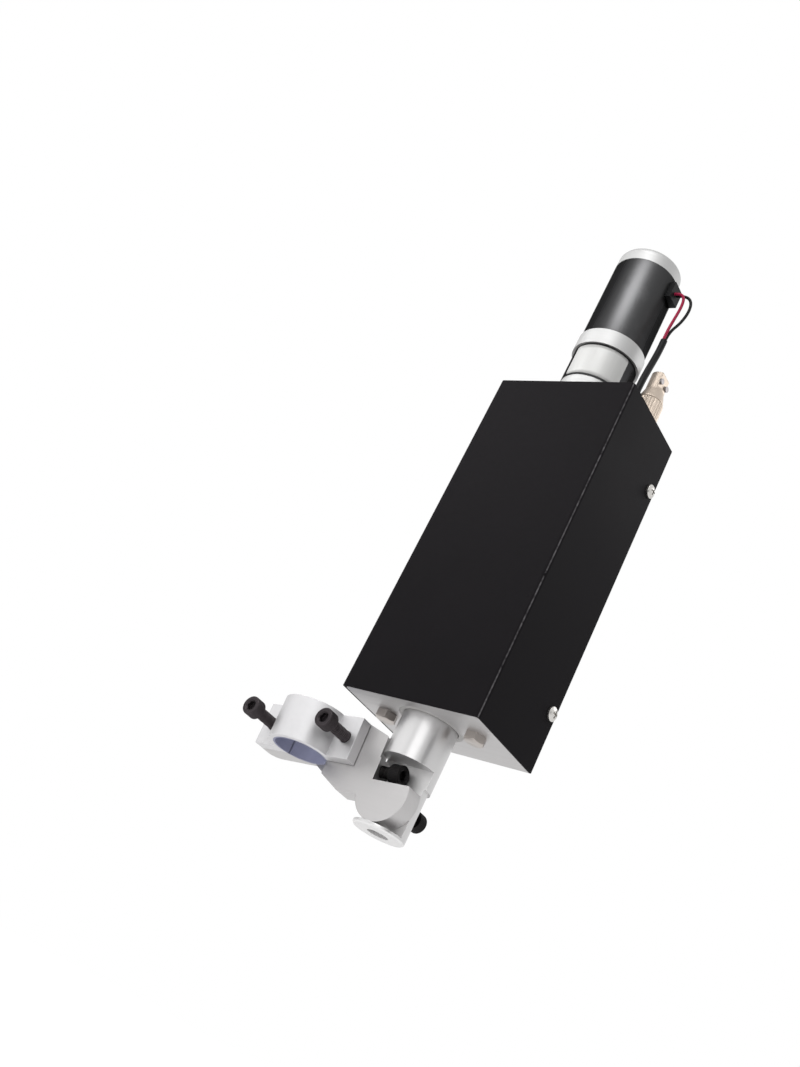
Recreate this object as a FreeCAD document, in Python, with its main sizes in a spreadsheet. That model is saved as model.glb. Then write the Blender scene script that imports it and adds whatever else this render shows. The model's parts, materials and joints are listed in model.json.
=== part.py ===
import FreeCAD, Part
import math
import os
import re

import Sketcher
from FreeCAD import Placement, Rotation, Vector

# Torch height adjuster: a motor-driven lifter for a cutting torch.
# A gearmotor on top turns a lead screw inside a closed housing. The nut rides in a carriage on two
# guide rods, and the carriage pushes a round lift rod out through the bottom plate. The rod's end
# carries a tilting arm with a split torch holder.
# Frame: +Z up along the lift rod, the front cover faces -Y, the back mounting face is Y = 0 and the
# origin is the centre of that face. Millimetres and degrees.

SIZES = {
    # Housing
    "box_width": 110,
    "box_depth": 75,
    "box_length": 258,
    "cover_sheet": 1.5,
    "cover_bend": 2.5,
    "back_thickness": 10,
    "end_thickness": 12,
    "plate_corner": 4,
    # Clearances
    "cut_over": 1,
    "running_gap": 0.06,
    "seat_gap": 0.05,
    "wiper_gap": 0.3,
    "slide_gap": 0.1,
    "swing_gap": 0.5,
    # Back mounting holes
    "mount_spacing_wide": 60,
    "mount_spacing_tall": 190,
    "mount_hole_radius": 2.6,
    # Cover screws, pan head
    "cover_screw_radius": 2.5,
    "cover_screw_head_radius": 5,
    "cover_screw_head": 3.4,
    "cover_screw_edge": 1.5,
    "cover_screw_crown_radius": 3,
    "cover_screw_length": 11,
    "cover_screw_setback": 6,
    "cover_screw_inset": 40,
    # Screws that hold the end plates and the bearing block to the back plate
    "plate_screw_radius": 2.5,
    "plate_screw_head_radius": 4.25,
    "plate_screw_head": 5,
    "plate_screw_length": 18,
    "plate_screw_flats": 4,
    "plate_screw_inset": 5.5,
    "block_screw_side": 16,
    # Guide rods and their end bolts
    "guide_wall": 3.5,
    "guide_radius": 6,
    "guide_bolt_radius": 4,
    "guide_bolt_flats": 13,
    "guide_bolt_head": 5.3,
    "guide_bolt_grip": 14,
    # Carriage
    "carriage_side_room": 3.5,
    "carriage_front_room": 6.5,
    "carriage_back_room": 9,
    "carriage_top_room": 5,
    "carriage_height": 36,
    "carriage_corner": 4,
    "linear_bearing_radius": 10.5,
    "linear_bearing_length": 30,
    # Lift rod
    "rod_radius": 19,
    "rod_end_radius": 17.5,
    "rod_reach": 77,
    "rod_shoulder_drop": 42,
    "rod_seat": 12,
    "rod_chamfer": 1,
    "rod_bore_radius": 11,
    "rod_bore_spare": 8,
    "rod_end_hole_radius": 7.2,
    "rod_end_hole_depth": 12,
    "rod_set_screw_radius": 3,
    "rod_set_screw_length": 4.9,
    "bush_wall": 3.5,
    "bush_guide_room": 1.5,
    "bush_flange_height": 3,
    "wiper_height": 4,
    # Lead screw, its nut and its bearing
    "screw_radius": 7,
    "screw_tail": 88,
    "journal_radius": 5,
    "stub_radius": 4,
    "nut_radius": 12,
    "nut_length": 22,
    "nut_flange_radius": 20,
    "nut_flange": 6,
    "nut_screw_circle": 16,
    "nut_screw_radius": 2,
    "nut_screw_head_radius": 3.5,
    "nut_screw_head": 3,
    "nut_screw_flats": 3,
    "nut_screw_grip": 9,
    "block_guide_room": 5,
    "block_height": 18,
    "block_floor": 4,
    "block_nose": 16,
    "block_round": 9.6,
    "block_hole_radius": 9,
    "ball_bearing_radius": 13,
    "ball_bearing_width": 8,
    "lock_nut_flats": 17,
    "lock_nut_height": 6,
    # Coupling and gearmotor
    "coupling_radius": 10,
    "coupling_length": 24,
    "coupling_top_gap": 2,
    "coupling_room": 7,
    "coupling_shaft_gap": 3,
    "coupling_screw_radius": 2,
    "pilot_radius": 11,
    "pilot_height": 3,
    "flange_radius": 23.7,
    "flange_height": 14,
    "gearbox_radius": 24,
    "gearbox_height": 29,
    "ring_radius": 25.8,
    "ring_height": 13,
    "can_radius": 24.8,
    "can_height": 71,
    "end_cap_height": 13,
    "end_cap_rounding": 5,
    "gearbox_screw_circle": 16,
    "gearbox_screw_radius": 2.5,
    "gearbox_screw_head_radius": 4.25,
    "gearbox_screw_head": 5,
    "gearbox_screw_flats": 4,
    "gearbox_screw_grip": 9,
    # Motor leads
    "terminal_stand": 4.5,
    "terminal_width": 13,
    "terminal_height": 14,
    "terminal_drop": 5,
    "terminal_shift": 3,
    "lead_radius": 1.1,
    "sleeve_radius": 2.5,
    "grommet_radius": 5,
    "grommet_collar_radius": 6.5,
    "grommet_collar": 3,
    "grommet_lip": 1,
    # Round connector on the top plate
    "connector_inset": 19.5,
    "connector_setback": 20,
    "connector_radius": 7,
    "connector_tail": 14,
    "connector_flange_radius": 11,
    "connector_flange": 3,
    "connector_ring_radius": 10.2,
    "connector_ring_height": 25,
    "connector_body_radius": 9.4,
    "connector_body_height": 9,
    "connector_taper": 8,
    "connector_step": 1,
    "cable_clamp_radius": 7.1,
    "cable_clamp_height": 14.5,
    "cable_clamp_collar": 2,
    "cable_clamp_flat": 2.8,
    "cable_hole_radius": 2.8,
    "clamp_screw_wall": 0.4,
    "clamp_screw_length": 4.8,
    "clamp_screw_radius": 1.25,
    "clamp_screw_head_radius": 2.2,
    "clamp_screw_head": 1.6,
    # Limit sensors
    "sensor_side": 25,
    "sensor_width": 10,
    "sensor_height": 12,
    "sensor_slot": 3.5,
    "sensor_base": 2,
    "sensor_clear": 1.5,
    "bracket_thickness": 2,
    "bracket_margin": 9,
    "flag_thickness": 1.5,
    "flag_height": 10,
    "flag_root": 6,
    "flag_tip_gap": 1,
    "stroke": 100,
    "bracket_screw_radius": 1.5,
    "bracket_screw_head_radius": 2.75,
    "bracket_screw_head": 1.6,
    "bracket_screw_grip": 6,
    # Tilting arm, measured from the pivot
    "pivot_drop": 55,
    "arm_tilt": 4.5,
    "arm_thickness": 14,
    "hub_radius": 19,
    "hub_ledge": 7,
    "notch_rise": 25,
    "arm_edge": 11,
    "arm_shoulder": 36,
    "arm_knee_side": 34.5,
    "arm_knee_drop": 4.5,
    "rod_recess_shift": 2,
    "rod_recess_foot": 3.2,
    "rod_recess_gap": 0.8,
    "pivot_bolt_radius": 4,
    "pivot_bolt_depth": 10.5,
    "pivot_end_gap": 1,
    "pivot_seat": 15,
    "pivot_washer": 2,
    "pivot_bolt_stand": 8,
    "pivot_washer_radius": 8,
    # Socket head screws of the arm
    "socket_head_radius": 6.5,
    "socket_head": 8,
    "socket_flats": 6,
    "socket_depth": 4,
    "side_screw_rise": 15,
    "side_screw_radius": 4,
    "side_screw_crown": 5.5,
    "side_screw_grip": 14,
    # Torch holder
    "holder_reach": 68.3,
    "holder_base": 13,
    "holder_height": 29,
    "holder_half_span": 39.5,
    "holder_end_round": 8,
    "torch_radius": 17.5,
    "torch_offset": 22.5,
    "liner_thickness": 1.5,
    "liner_split": 0.6,
    "cap_wall": 3.5,
    "cap_gap": 0.5,
    "ear_depth": 8.5,
    "cap_screw_side": 31.2,
    "cap_screw_radius": 4,
    "cap_screw_stand": 19,
    "cap_screw_tip": 3,
}

doc = FreeCAD.newDocument("torch_height_adjuster")
sheet = doc.addObject("Spreadsheet::Sheet", "Sizes")
for row, (name, value) in enumerate(SIZES.items(), 1):
    sheet.set(f"A{row}", name)
    sheet.set(f"B{row}", str(value))
    sheet.setAlias(f"B{row}", name)
doc.recompute()

# Heights and depths that several pieces share, as expressions on the sheet
TOP = "(box_length / 2)"
BOTTOM = "(-box_length / 2)"
UNDER_TOP = "(box_length / 2 - end_thickness)"
OVER_BOTTOM = "(end_thickness - box_length / 2)"
PLATE_FRONT = "(-back_thickness)"
INNER_HALF = "(box_width / 2 - cover_sheet)"
INNER_FRONT = "(cover_sheet - box_depth)"
CARRIAGE_SIDE = f"({INNER_HALF} - carriage_side_room)"
CARRIAGE_FRONT = f"({INNER_FRONT} + carriage_front_room)"
CARRIAGE_BACK = f"({PLATE_FRONT} - carriage_back_room)"
CARRIAGE_HALF = f"(({CARRIAGE_BACK} - {CARRIAGE_FRONT}) / 2)"
AXIS = f"(({CARRIAGE_BACK} + {CARRIAGE_FRONT}) / 2)"
GUIDE_SIDE = f"({CARRIAGE_SIDE} - guide_wall - linear_bearing_radius)"
GUIDE_EDGE = f"({GUIDE_SIDE} - guide_radius)"
PLATE_SCREW_SIDE = f"({INNER_HALF} - plate_screw_inset)"
CONNECTOR_SIDE = f"({INNER_HALF} - connector_inset)"
PIVOT = f"({BOTTOM} - pivot_drop)"
ROD_END = f"({BOTTOM} - rod_reach)"
COUPLING_TOP = f"({UNDER_TOP} - coupling_top_gap)"
COUPLING_MID = f"({COUPLING_TOP} - coupling_length / 2)"
COUPLING_BASE = f"({COUPLING_TOP} - coupling_length)"
LOCK_NUT_TOP = f"({COUPLING_BASE} - coupling_room)"
BEARING_TOP = f"({LOCK_NUT_TOP} - lock_nut_height - slide_gap)"
BEARING_BASE = f"({BEARING_TOP} - ball_bearing_width)"
BLOCK_BASE = f"({BEARING_BASE} - block_floor)"
CARRIAGE_TOP = f"({BLOCK_BASE} - carriage_top_room - nut_screw_head - nut_flange)"
CARRIAGE_REST = f"({CARRIAGE_TOP} - carriage_height)"
CARRIAGE_MID = f"({CARRIAGE_TOP} - carriage_height / 2)"
SCREW_END = f"({CARRIAGE_REST} - screw_tail)"
GEARBOX_BASE = f"({TOP} + flange_height)"
RING_BASE = f"({GEARBOX_BASE} + gearbox_height)"
CAN_BASE = f"({RING_BASE} + ring_height)"
CAN_TOP = f"({CAN_BASE} + can_height)"
FLAG_BASE = f"({CARRIAGE_MID} - flag_height / 2)"
SENSOR_FACE = f"({CARRIAGE_BACK} + sensor_clear)"
BRACKET_FACE = f"({PLATE_FRONT} - bracket_thickness)"
HOLDER_TOP = "(holder_base + holder_height)"
HOLDER_MID = "(holder_base + holder_height / 2)"
SPLIT = "(-arm_thickness - cap_gap)"
EAR_FRONT = "(-arm_thickness - cap_gap - ear_depth)"
LINER_RADIUS = "(torch_radius + liner_thickness)"

TURN = {
    "x": Rotation(Vector(0, 1, 0), 90),
    "y": Rotation(Vector(1, 0, 0), -90),
    "z": Rotation(),
}
FLAT_TO_SIDE = Rotation(Vector(0, 0, 1), 30)
NEAR = 1e-4
finished = []


def full(text):
    """Write an expression's size names as cells of the sheet."""
    return re.sub(r"[a-z_]{3,}", lambda m: "Sizes." + m[0] if m[0] in SIZES else m[0], text)


def number(text):
    return float(sheet.evalExpression(full(text)))


def bind(item, prop, text):
    item.setExpression(prop, full(text))


def done(*items):
    """Keep objects as sub-parts: each one's Label names its file."""
    finished.extend(items)


# Primitives and booleans
def block(name, x, y, z):
    """Box between a low and a high expression on each axis."""
    item = doc.addObject("Part::Box", name)
    for size, axis, (low, high) in zip(("Length", "Width", "Height"), "xyz", (x, y, z)):
        bind(item, size, f"({high}) - ({low})")
        bind(item, f"Placement.Base.{axis}", low)
    return item


def along(item, axis, span, centre):
    """Lay a bar or prism along an axis, from the low to the high end of its span."""
    bind(item, "Height", f"({span[1]}) - ({span[0]})")
    item.Placement = Placement(Vector(), TURN[axis])
    for letter, place in {**centre, axis: span[0]}.items():
        bind(item, f"Placement.Base.{letter}", place)
    return item


def bar(name, radius, axis, span, **centre):
    item = doc.addObject("Part::Cylinder", name)
    bind(item, "Radius", radius)
    return along(item, axis, span, centre)


def cone(name, low_radius, high_radius, axis, span, **centre):
    item = doc.addObject("Part::Cone", name)
    bind(item, "Radius1", low_radius)
    bind(item, "Radius2", high_radius)
    return along(item, axis, span, centre)


def hexagon(name, flats, axis, span, **centre):
    item = doc.addObject("Part::Prism", name)
    item.Polygon = 6
    bind(item, "Circumradius", f"({flats}) / sqrt(3)")
    along(item, axis, span, centre)
    item.Placement.Rotation = TURN[axis] * FLAT_TO_SIDE
    return item


def fuse(name, *items):
    item = doc.addObject("Part::MultiFuse", name)
    item.Shapes = list(items)
    item.Refine = True
    return item


def cut(name, base, *tools):
    item = doc.addObject("Part::Cut", name)
    item.Base = base
    item.Tool = tools[0] if len(tools) == 1 else fuse(name + "_tools", *tools)
    return item


def group(name, items):
    """Like pieces, kept as separate solids of one sub-part."""
    item = doc.addObject("Part::Compound", name)
    item.Links = list(items)
    return item


def ring(name, outer, inner, span, **centre):
    return cut(name, bar(name + "_outer", outer, "z", span, **centre),
               bar(name + "_bore", inner, "z", span, **centre))


def cap_screw(name, axis, shank, head, radius, head_radius, socket, flats, **centre):
    """Socket head screw from its shank's, head's and socket's spans along one axis."""
    solid = fuse(name + "_solid", bar(name + "_shank", radius, axis, shank, **centre),
                 bar(name + "_head", head_radius, axis, head, **centre))
    return cut(name, solid, hexagon(name + "_socket", flats, axis, socket, **centre))


# Sketched bodies
def new_body(name, x="0", y="0", z="0"):
    body = doc.addObject("PartDesign::Body", name)
    for axis, place in zip("xyz", (x, y, z)):
        bind(body, f"Placement.Base.{axis}", place)
    return body


def new_sketch(body, role, offset="0"):
    sketch = body.newObject("Sketcher::SketchObject", body.Name + "_sketch")
    plane = next(item for item in body.Origin.OriginFeatures if item.Role == role)
    sketch.AttachmentSupport = [(plane, "")]
    sketch.MapMode = "FlatFace"
    bind(sketch, "AttachmentOffset.Base.z", offset)
    return sketch


def pin(sketch, geometry, point, place):
    """Tie a sketch point to two expressions measured from the sketch's origin."""
    for kind, text in zip(("DistanceX", "DistanceY"), place):
        made = Sketcher.Constraint(kind, -1, 1, geometry, point, number(text))
        bind(sketch, f"Constraints[{sketch.addConstraint(made)}]", text)


def outline(sketch, places):
    """Closed outline of straight lines through the places."""
    points = [Vector(number(x), number(y), 0) for x, y in places]
    ends = points[1:] + points[:1]
    lines = [sketch.addGeometry(Part.LineSegment(a, b), False) for a, b in zip(points, ends)]
    for line, following in zip(lines, lines[1:] + lines[:1]):
        sketch.addConstraint(Sketcher.Constraint("Coincident", line, 2, following, 1))
    for line, place in zip(lines, places):
        pin(sketch, line, 1, place)
    return sketch


def rectangle(sketch, x, y):
    return outline(sketch, [(x[0], y[0]), (x[1], y[0]), (x[1], y[1]), (x[0], y[1])])


def circle(sketch, radius, x="0", y="0"):
    centre = Vector(number(x), number(y), 0)
    drawn = sketch.addGeometry(Part.Circle(centre, Vector(0, 0, 1), number(radius)), False)
    made = Sketcher.Constraint("Radius", drawn, number(radius))
    bind(sketch, f"Constraints[{sketch.addConstraint(made)}]", radius)
    pin(sketch, drawn, 3, (x, y))
    return sketch


def pad(sketch, length):
    body = sketch.getParentGeoFeatureGroup()
    feature = body.newObject("PartDesign::Pad", body.Name + "_pad")
    feature.Profile = sketch
    bind(feature, "Length", length)
    return feature


def pocket(sketch, length, along_normal=False):
    """Cut against the sketch's normal, or along it."""
    body = sketch.getParentGeoFeatureGroup()
    doc.recompute()
    before = body.Tip.Shape.Volume
    feature = body.newObject("PartDesign::Pocket", body.Name + "_pocket")
    feature.Profile = sketch
    feature.Reversed = along_normal
    bind(feature, "Length", length)
    doc.recompute()
    if feature.Shape.Volume > before - NEAR:
        raise RuntimeError(f"{feature.Name} cuts nothing")
    return feature


def turned(name, profile, x="0", y=AXIS):
    """Body turned about its own Z axis from a half profile of radius and height."""
    body = new_body(name, x, y)
    sketch = outline(new_sketch(body, "XZ_Plane"), profile)
    feature = body.newObject("PartDesign::Revolution", name + "_turning")
    feature.Profile = sketch
    feature.ReferenceAxis = (sketch, ["V_Axis"])
    feature.Angle = 360
    return body


def finish_edges(body, kind, prop, size, wanted):
    """Fillet or chamfer the edges of a body that a test picks."""
    doc.recompute()
    base = body.Tip
    names = [f"Edge{i}" for i, edge in enumerate(base.Shape.Edges, 1) if wanted(edge)]
    if not names:
        raise RuntimeError(f"{body.Name} has no such edge")
    feature = body.newObject("PartDesign::" + kind, body.Name + "_" + kind.lower())
    feature.Base = (base, names)
    bind(feature, prop, size)
    return feature


def upright(x, y):
    """Test for the upright edge at a place of the body's own plan."""
    spot = (number(x), number(y))
    return lambda edge: all(math.dist((v.X, v.Y), spot) < NEAR for v in edge.Vertexes)


def either(*tests):
    return lambda edge: any(test(edge) for test in tests)


# Back plate: the mounting face, with counterbored screws into the end plates and the bearing block
BACK_SCREWS = [(f"{side}{PLATE_SCREW_SIDE}", f"{end}(box_length - end_thickness) / 2")
               for side in ("", "-") for end in ("", "-")]
BLOCK_SCREWS = [(f"{side}block_screw_side", f"{BLOCK_BASE} + block_height / 2") for side in ("", "-")]
HEAD_SEAT = "(-plate_screw_head - slide_gap)"


def back_screw(name, x, z):
    tip = f"{HEAD_SEAT} - plate_screw_length"
    return cap_screw(name, "y", (tip, HEAD_SEAT), (HEAD_SEAT, "-slide_gap"), "plate_screw_radius",
                     "plate_screw_head_radius", ("-slide_gap - plate_screw_head / 2", "-slide_gap"),
                     "plate_screw_flats", x=x, z=z)


def back_screw_holes(name, x, z):
    deep = f"{HEAD_SEAT} - plate_screw_length - slide_gap"
    return [bar(name + "_thread", "plate_screw_radius + seat_gap", "y", (deep, "cut_over"), x=x, z=z),
            bar(name + "_bore", "plate_screw_head_radius + slide_gap", "y", (HEAD_SEAT, "cut_over"), x=x, z=z)]


def back_plate():
    blank = block("back_plate_blank", (f"-{INNER_HALF}", INNER_HALF), (PLATE_FRONT, "0"), (BOTTOM, TOP))
    tools = []
    for i, (x, z) in enumerate(BACK_SCREWS + BLOCK_SCREWS):
        tools += back_screw_holes(f"back_plate_seat_{i}", x, z)
    for side in ("", "-"):
        for end in ("", "-"):
            tools.append(bar("mount_hole", "mount_hole_radius", "y", (f"{PLATE_FRONT} - cut_over", "cut_over"),
                             x=f"{side}mount_spacing_wide / 2", z=f"{end}mount_spacing_tall / 2"))
            tools.append(cover_screw_hole(side, end))
    tools.append(bracket_screw_hole("-"))
    tools.append(bracket_screw_hole(""))
    done(cut("back_plate", blank, *tools))
    screws = [back_screw(f"plate_screw_{i}", x, z) for i, (x, z) in enumerate(BACK_SCREWS)]
    done(group("plate_screws", screws))
    screws = [back_screw(f"block_screw_{i}", x, z) for i, (x, z) in enumerate(BLOCK_SCREWS)]
    done(group("block_screws", screws))


# Cover: one bent sheet over the front and both sides, held by pan head screws in the back plate's edges
COVER_SCREW_REACH = "(box_width / 2 - cover_screw_length)"


def cover_screw_place(end):
    return {"y": "-cover_screw_setback", "z": f"{end}(box_length / 2 - cover_screw_inset)"}


def cover_screw_span(side, low, high):
    return (low, high) if side == "" else (f"-({high})", f"-({low})")


def cover_screw_hole(side, end):
    span = cover_screw_span(side, f"{COVER_SCREW_REACH} - slide_gap", "box_width / 2 + cut_over")
    return bar("cover_screw_hole", "cover_screw_radius + seat_gap", "x", span, **cover_screw_place(end))


def cover_screw(side, end):
    place = cover_screw_place(end)
    shank = cover_screw_span(side, COVER_SCREW_REACH, "box_width / 2")
    edge = cover_screw_span(side, "box_width / 2", "box_width / 2 + cover_screw_edge")
    dome = cover_screw_span(side, "box_width / 2 + cover_screw_edge", "box_width / 2 + cover_screw_head")
    radii = ("cover_screw_head_radius", "cover_screw_crown_radius")
    return fuse("cover_screw", bar("cover_screw_shank", "cover_screw_radius", "x", shank, **place),
                bar("cover_screw_edge", "cover_screw_head_radius", "x", edge, **place),
                cone("cover_screw_dome", *(radii if side == "" else radii[::-1]), "x", dome, **place))


def front_cover():
    half, front = "box_width / 2", "-box_depth"
    body = new_body("front_cover_sheet", z=BOTTOM)
    pad(rectangle(new_sketch(body, "XY_Plane"), (f"-{half}", half), (front, "0")), "box_length")
    bends = either(upright(f"-{half}", front), upright(half, front))
    finish_edges(body, "Fillet", "Radius", "cover_bend", bends)
    inside = new_sketch(body, "XY_Plane")
    rectangle(inside, (f"-{INNER_HALF}", INNER_HALF), (INNER_FRONT, "cut_over"))
    pocket(inside, "box_length", along_normal=True)
    corners = either(upright(f"-{INNER_HALF}", INNER_FRONT), upright(INNER_HALF, INNER_FRONT))
    finish_edges(body, "Fillet", "Radius", "cover_bend - cover_sheet", corners)
    pairs = [(side, end) for side in ("", "-") for end in ("", "-")]
    done(cut("front_cover", body, *[cover_screw_hole(*pair) for pair in pairs]))
    done(group("cover_screws", [cover_screw(*pair) for pair in pairs]))


# End plates
def end_plate(name, base, *tools):
    body = new_body(name + "_blank", z=base)
    sketch = new_sketch(body, "XY_Plane")
    pad(rectangle(sketch, (f"-{INNER_HALF}", INNER_HALF), (INNER_FRONT, PLATE_FRONT)), "end_thickness")
    corners = either(upright(f"-{INNER_HALF}", INNER_FRONT), upright(INNER_HALF, INNER_FRONT))
    finish_edges(body, "Fillet", "Radius", "plate_corner", corners)
    return cut(name, body, *tools)


def plate_hole(name, radius, base, x="0", y=AXIS):
    return bar(name, radius, "z", (f"{base} - cut_over", f"{base} + end_thickness + cut_over"), x=x, y=y)


def end_plate_screw_holes(name, end):
    holes = []
    for side in ("", "-"):
        z = f"{end}(box_length - end_thickness) / 2"
        holes.append(back_screw_holes(f"{name}_{side}thread", f"{side}{PLATE_SCREW_SIDE}", z)[0])
    return holes


def guide_bolt_holes(name, base):
    return [plate_hole(name, "guide_bolt_radius + seat_gap", base, x=f"{side}{GUIDE_SIDE}")
            for side in ("", "-")]


def end_plates():
    done(end_plate("bottom_plate", BOTTOM, plate_hole("rod_hole", "rod_radius + bush_wall + seat_gap", BOTTOM),
                   *guide_bolt_holes("bottom_bolt_hole", BOTTOM), *end_plate_screw_holes("bottom_plate", "-")))
    gearbox_holes = [plate_hole("gearbox_hole", "gearbox_screw_radius + slide_gap", UNDER_TOP, x=x, y=y)
                     for x, y in circle_places("gearbox_screw_circle")]
    done(end_plate("top_plate", UNDER_TOP, plate_hole("pilot_hole", "pilot_radius + seat_gap", UNDER_TOP),
                   plate_hole("socket_hole", "connector_radius + seat_gap", UNDER_TOP,
                              x=CONNECTOR_SIDE, y="-connector_setback"),
                   plate_hole("lead_hole", "grommet_radius + seat_gap", UNDER_TOP, *grommet_place()),
                   *gearbox_holes, *guide_bolt_holes("top_bolt_hole", UNDER_TOP),
                   *end_plate_screw_holes("top_plate", "")))


DIAGONALS = (45, 135, 225, 315)


def circle_places(radius):
    """Four places round the screw's axis, on the diagonals."""
    return [(f"{radius} * cos({turn})", f"{AXIS} + {radius} * sin({turn})") for turn in DIAGONALS]


# Guide rods, bolted to both end plates
def guide_rod(name, side):
    x = f"{side}{GUIDE_SIDE}"
    deep = "guide_bolt_grip + cut_over"
    blank = bar(name + "_bar", "guide_radius", "z", (OVER_BOTTOM, UNDER_TOP), x=x, y=AXIS)
    lower = bar(name + "_lower", "guide_bolt_radius + seat_gap", "z",
                (f"{OVER_BOTTOM} - cut_over", f"{OVER_BOTTOM} + {deep}"), x=x, y=AXIS)
    upper = bar(name + "_upper", "guide_bolt_radius + seat_gap", "z",
                (f"{UNDER_TOP} - ({deep})", f"{UNDER_TOP} + cut_over"), x=x, y=AXIS)
    done(cut(name, blank, lower, upper))


def hex_bolt(name, x, shank, head):
    return fuse(name, bar(name + "_shank", "guide_bolt_radius", "z", shank, x=x, y=AXIS),
                hexagon(name + "_head", "guide_bolt_flats", "z", head, x=x, y=AXIS))


def guides():
    guide_rod("guide_rod_left", "-")
    guide_rod("guide_rod_right", "")
    sides = (f"-{GUIDE_SIDE}", GUIDE_SIDE)
    done(group("bottom_guide_bolts", [
        hex_bolt("bottom_bolt", x, (BOTTOM, f"{OVER_BOTTOM} + guide_bolt_grip"),
                 (f"{BOTTOM} - guide_bolt_head", BOTTOM)) for x in sides]))
    done(group("top_guide_bolts", [
        hex_bolt("top_bolt", x, (f"{UNDER_TOP} - guide_bolt_grip", TOP),
                 (TOP, f"{TOP} + guide_bolt_head")) for x in sides]))


# Flanged bush and wiper that guide the lift rod through the bottom plate
def rod_guide():
    inner, outer = "rod_radius + running_gap", "rod_radius + bush_wall"
    low, high = f"{BOTTOM} + wiper_height", f"{OVER_BOTTOM} + bush_flange_height"
    flange = f"{GUIDE_EDGE} - bush_guide_room"
    done(turned("rod_bush", [
        (inner, low), (outer, low), (outer, OVER_BOTTOM), (flange, OVER_BOTTOM), (flange, high),
        (inner, high)]))
    done(ring("rod_wiper", outer, "rod_radius + wiper_gap", (BOTTOM, low), x="0", y=AXIS))


# Lift rod: hollow above for the lead screw, notched below for the arm's hub
def lift_rod():
    top = f"({CARRIAGE_REST} + rod_seat)"
    floor = f"({SCREW_END} - rod_bore_spare)"
    shoulder = f"({BOTTOM} - rod_shoulder_drop)"
    blank = turned("lift_rod_turning", [
        ("rod_bore_radius", top), ("rod_radius - rod_chamfer", top), ("rod_radius", f"{top} - rod_chamfer"),
        ("rod_radius", shoulder), ("rod_end_radius", shoulder),
        ("rod_end_radius", f"{ROD_END} + rod_chamfer"), ("rod_end_radius - rod_chamfer", ROD_END),
        ("rod_end_hole_radius", ROD_END), ("rod_end_hole_radius", f"{ROD_END} + rod_end_hole_depth"),
        ("0", f"{ROD_END} + rod_end_hole_depth"), ("0", floor), ("rod_bore_radius", floor)])
    wide = ("-rod_radius - cut_over", "rod_radius + cut_over")
    notch = block("lift_rod_notch", wide, (f"{AXIS} - rod_radius - cut_over", AXIS),
                  (f"{PIVOT} - hub_radius - swing_gap", f"{PIVOT} + notch_rise"))
    reach = "(pivot_washer_radius + pivot_end_gap)"
    seat = block("lift_rod_seat", wide, (f"{AXIS} + pivot_seat", f"{AXIS} + rod_radius + cut_over"),
                 (f"{PIVOT} - {reach}", f"{PIVOT} + {reach}"))
    hole = bar("lift_rod_pivot_hole", "pivot_bolt_radius + seat_gap", "y",
               (f"{AXIS} - cut_over", f"{AXIS} + pivot_seat + cut_over"), x="0", z=PIVOT)
    done(cut("lift_rod", blank, notch, seat, hole))


def pivot():
    seat = f"{AXIS} + pivot_seat"
    under = f"{seat} + pivot_washer + pivot_bolt_stand"
    crown = f"{under} + socket_head"
    place = {"x": "0", "z": PIVOT}
    done(cap_screw("pivot_bolt", "y", (f"{AXIS} - slide_gap - pivot_bolt_depth", under), (under, crown),
                   "pivot_bolt_radius", "socket_head_radius", (f"{crown} - socket_depth", crown),
                   "socket_flats", **place))
    washer = (seat, f"{seat} + pivot_washer")
    done(cut("pivot_washer", bar("pivot_washer_disc", "pivot_washer_radius", "y", washer, **place),
             bar("pivot_washer_hole", "pivot_bolt_radius + seat_gap", "y", washer, **place)))


# Carriage with its linear bearings, the lead screw's nut and the sensor flag
SET_SCREW_HEIGHT = f"({CARRIAGE_REST} + rod_seat / 2)"


def set_screw_spans(length):
    near = "rod_radius + seat_gap"
    far = f"{near} + {length}"
    return [(f"{AXIS} + {near}", f"{AXIS} + {far}"), (f"{AXIS} - ({far})", f"{AXIS} - ({near})")]


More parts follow.
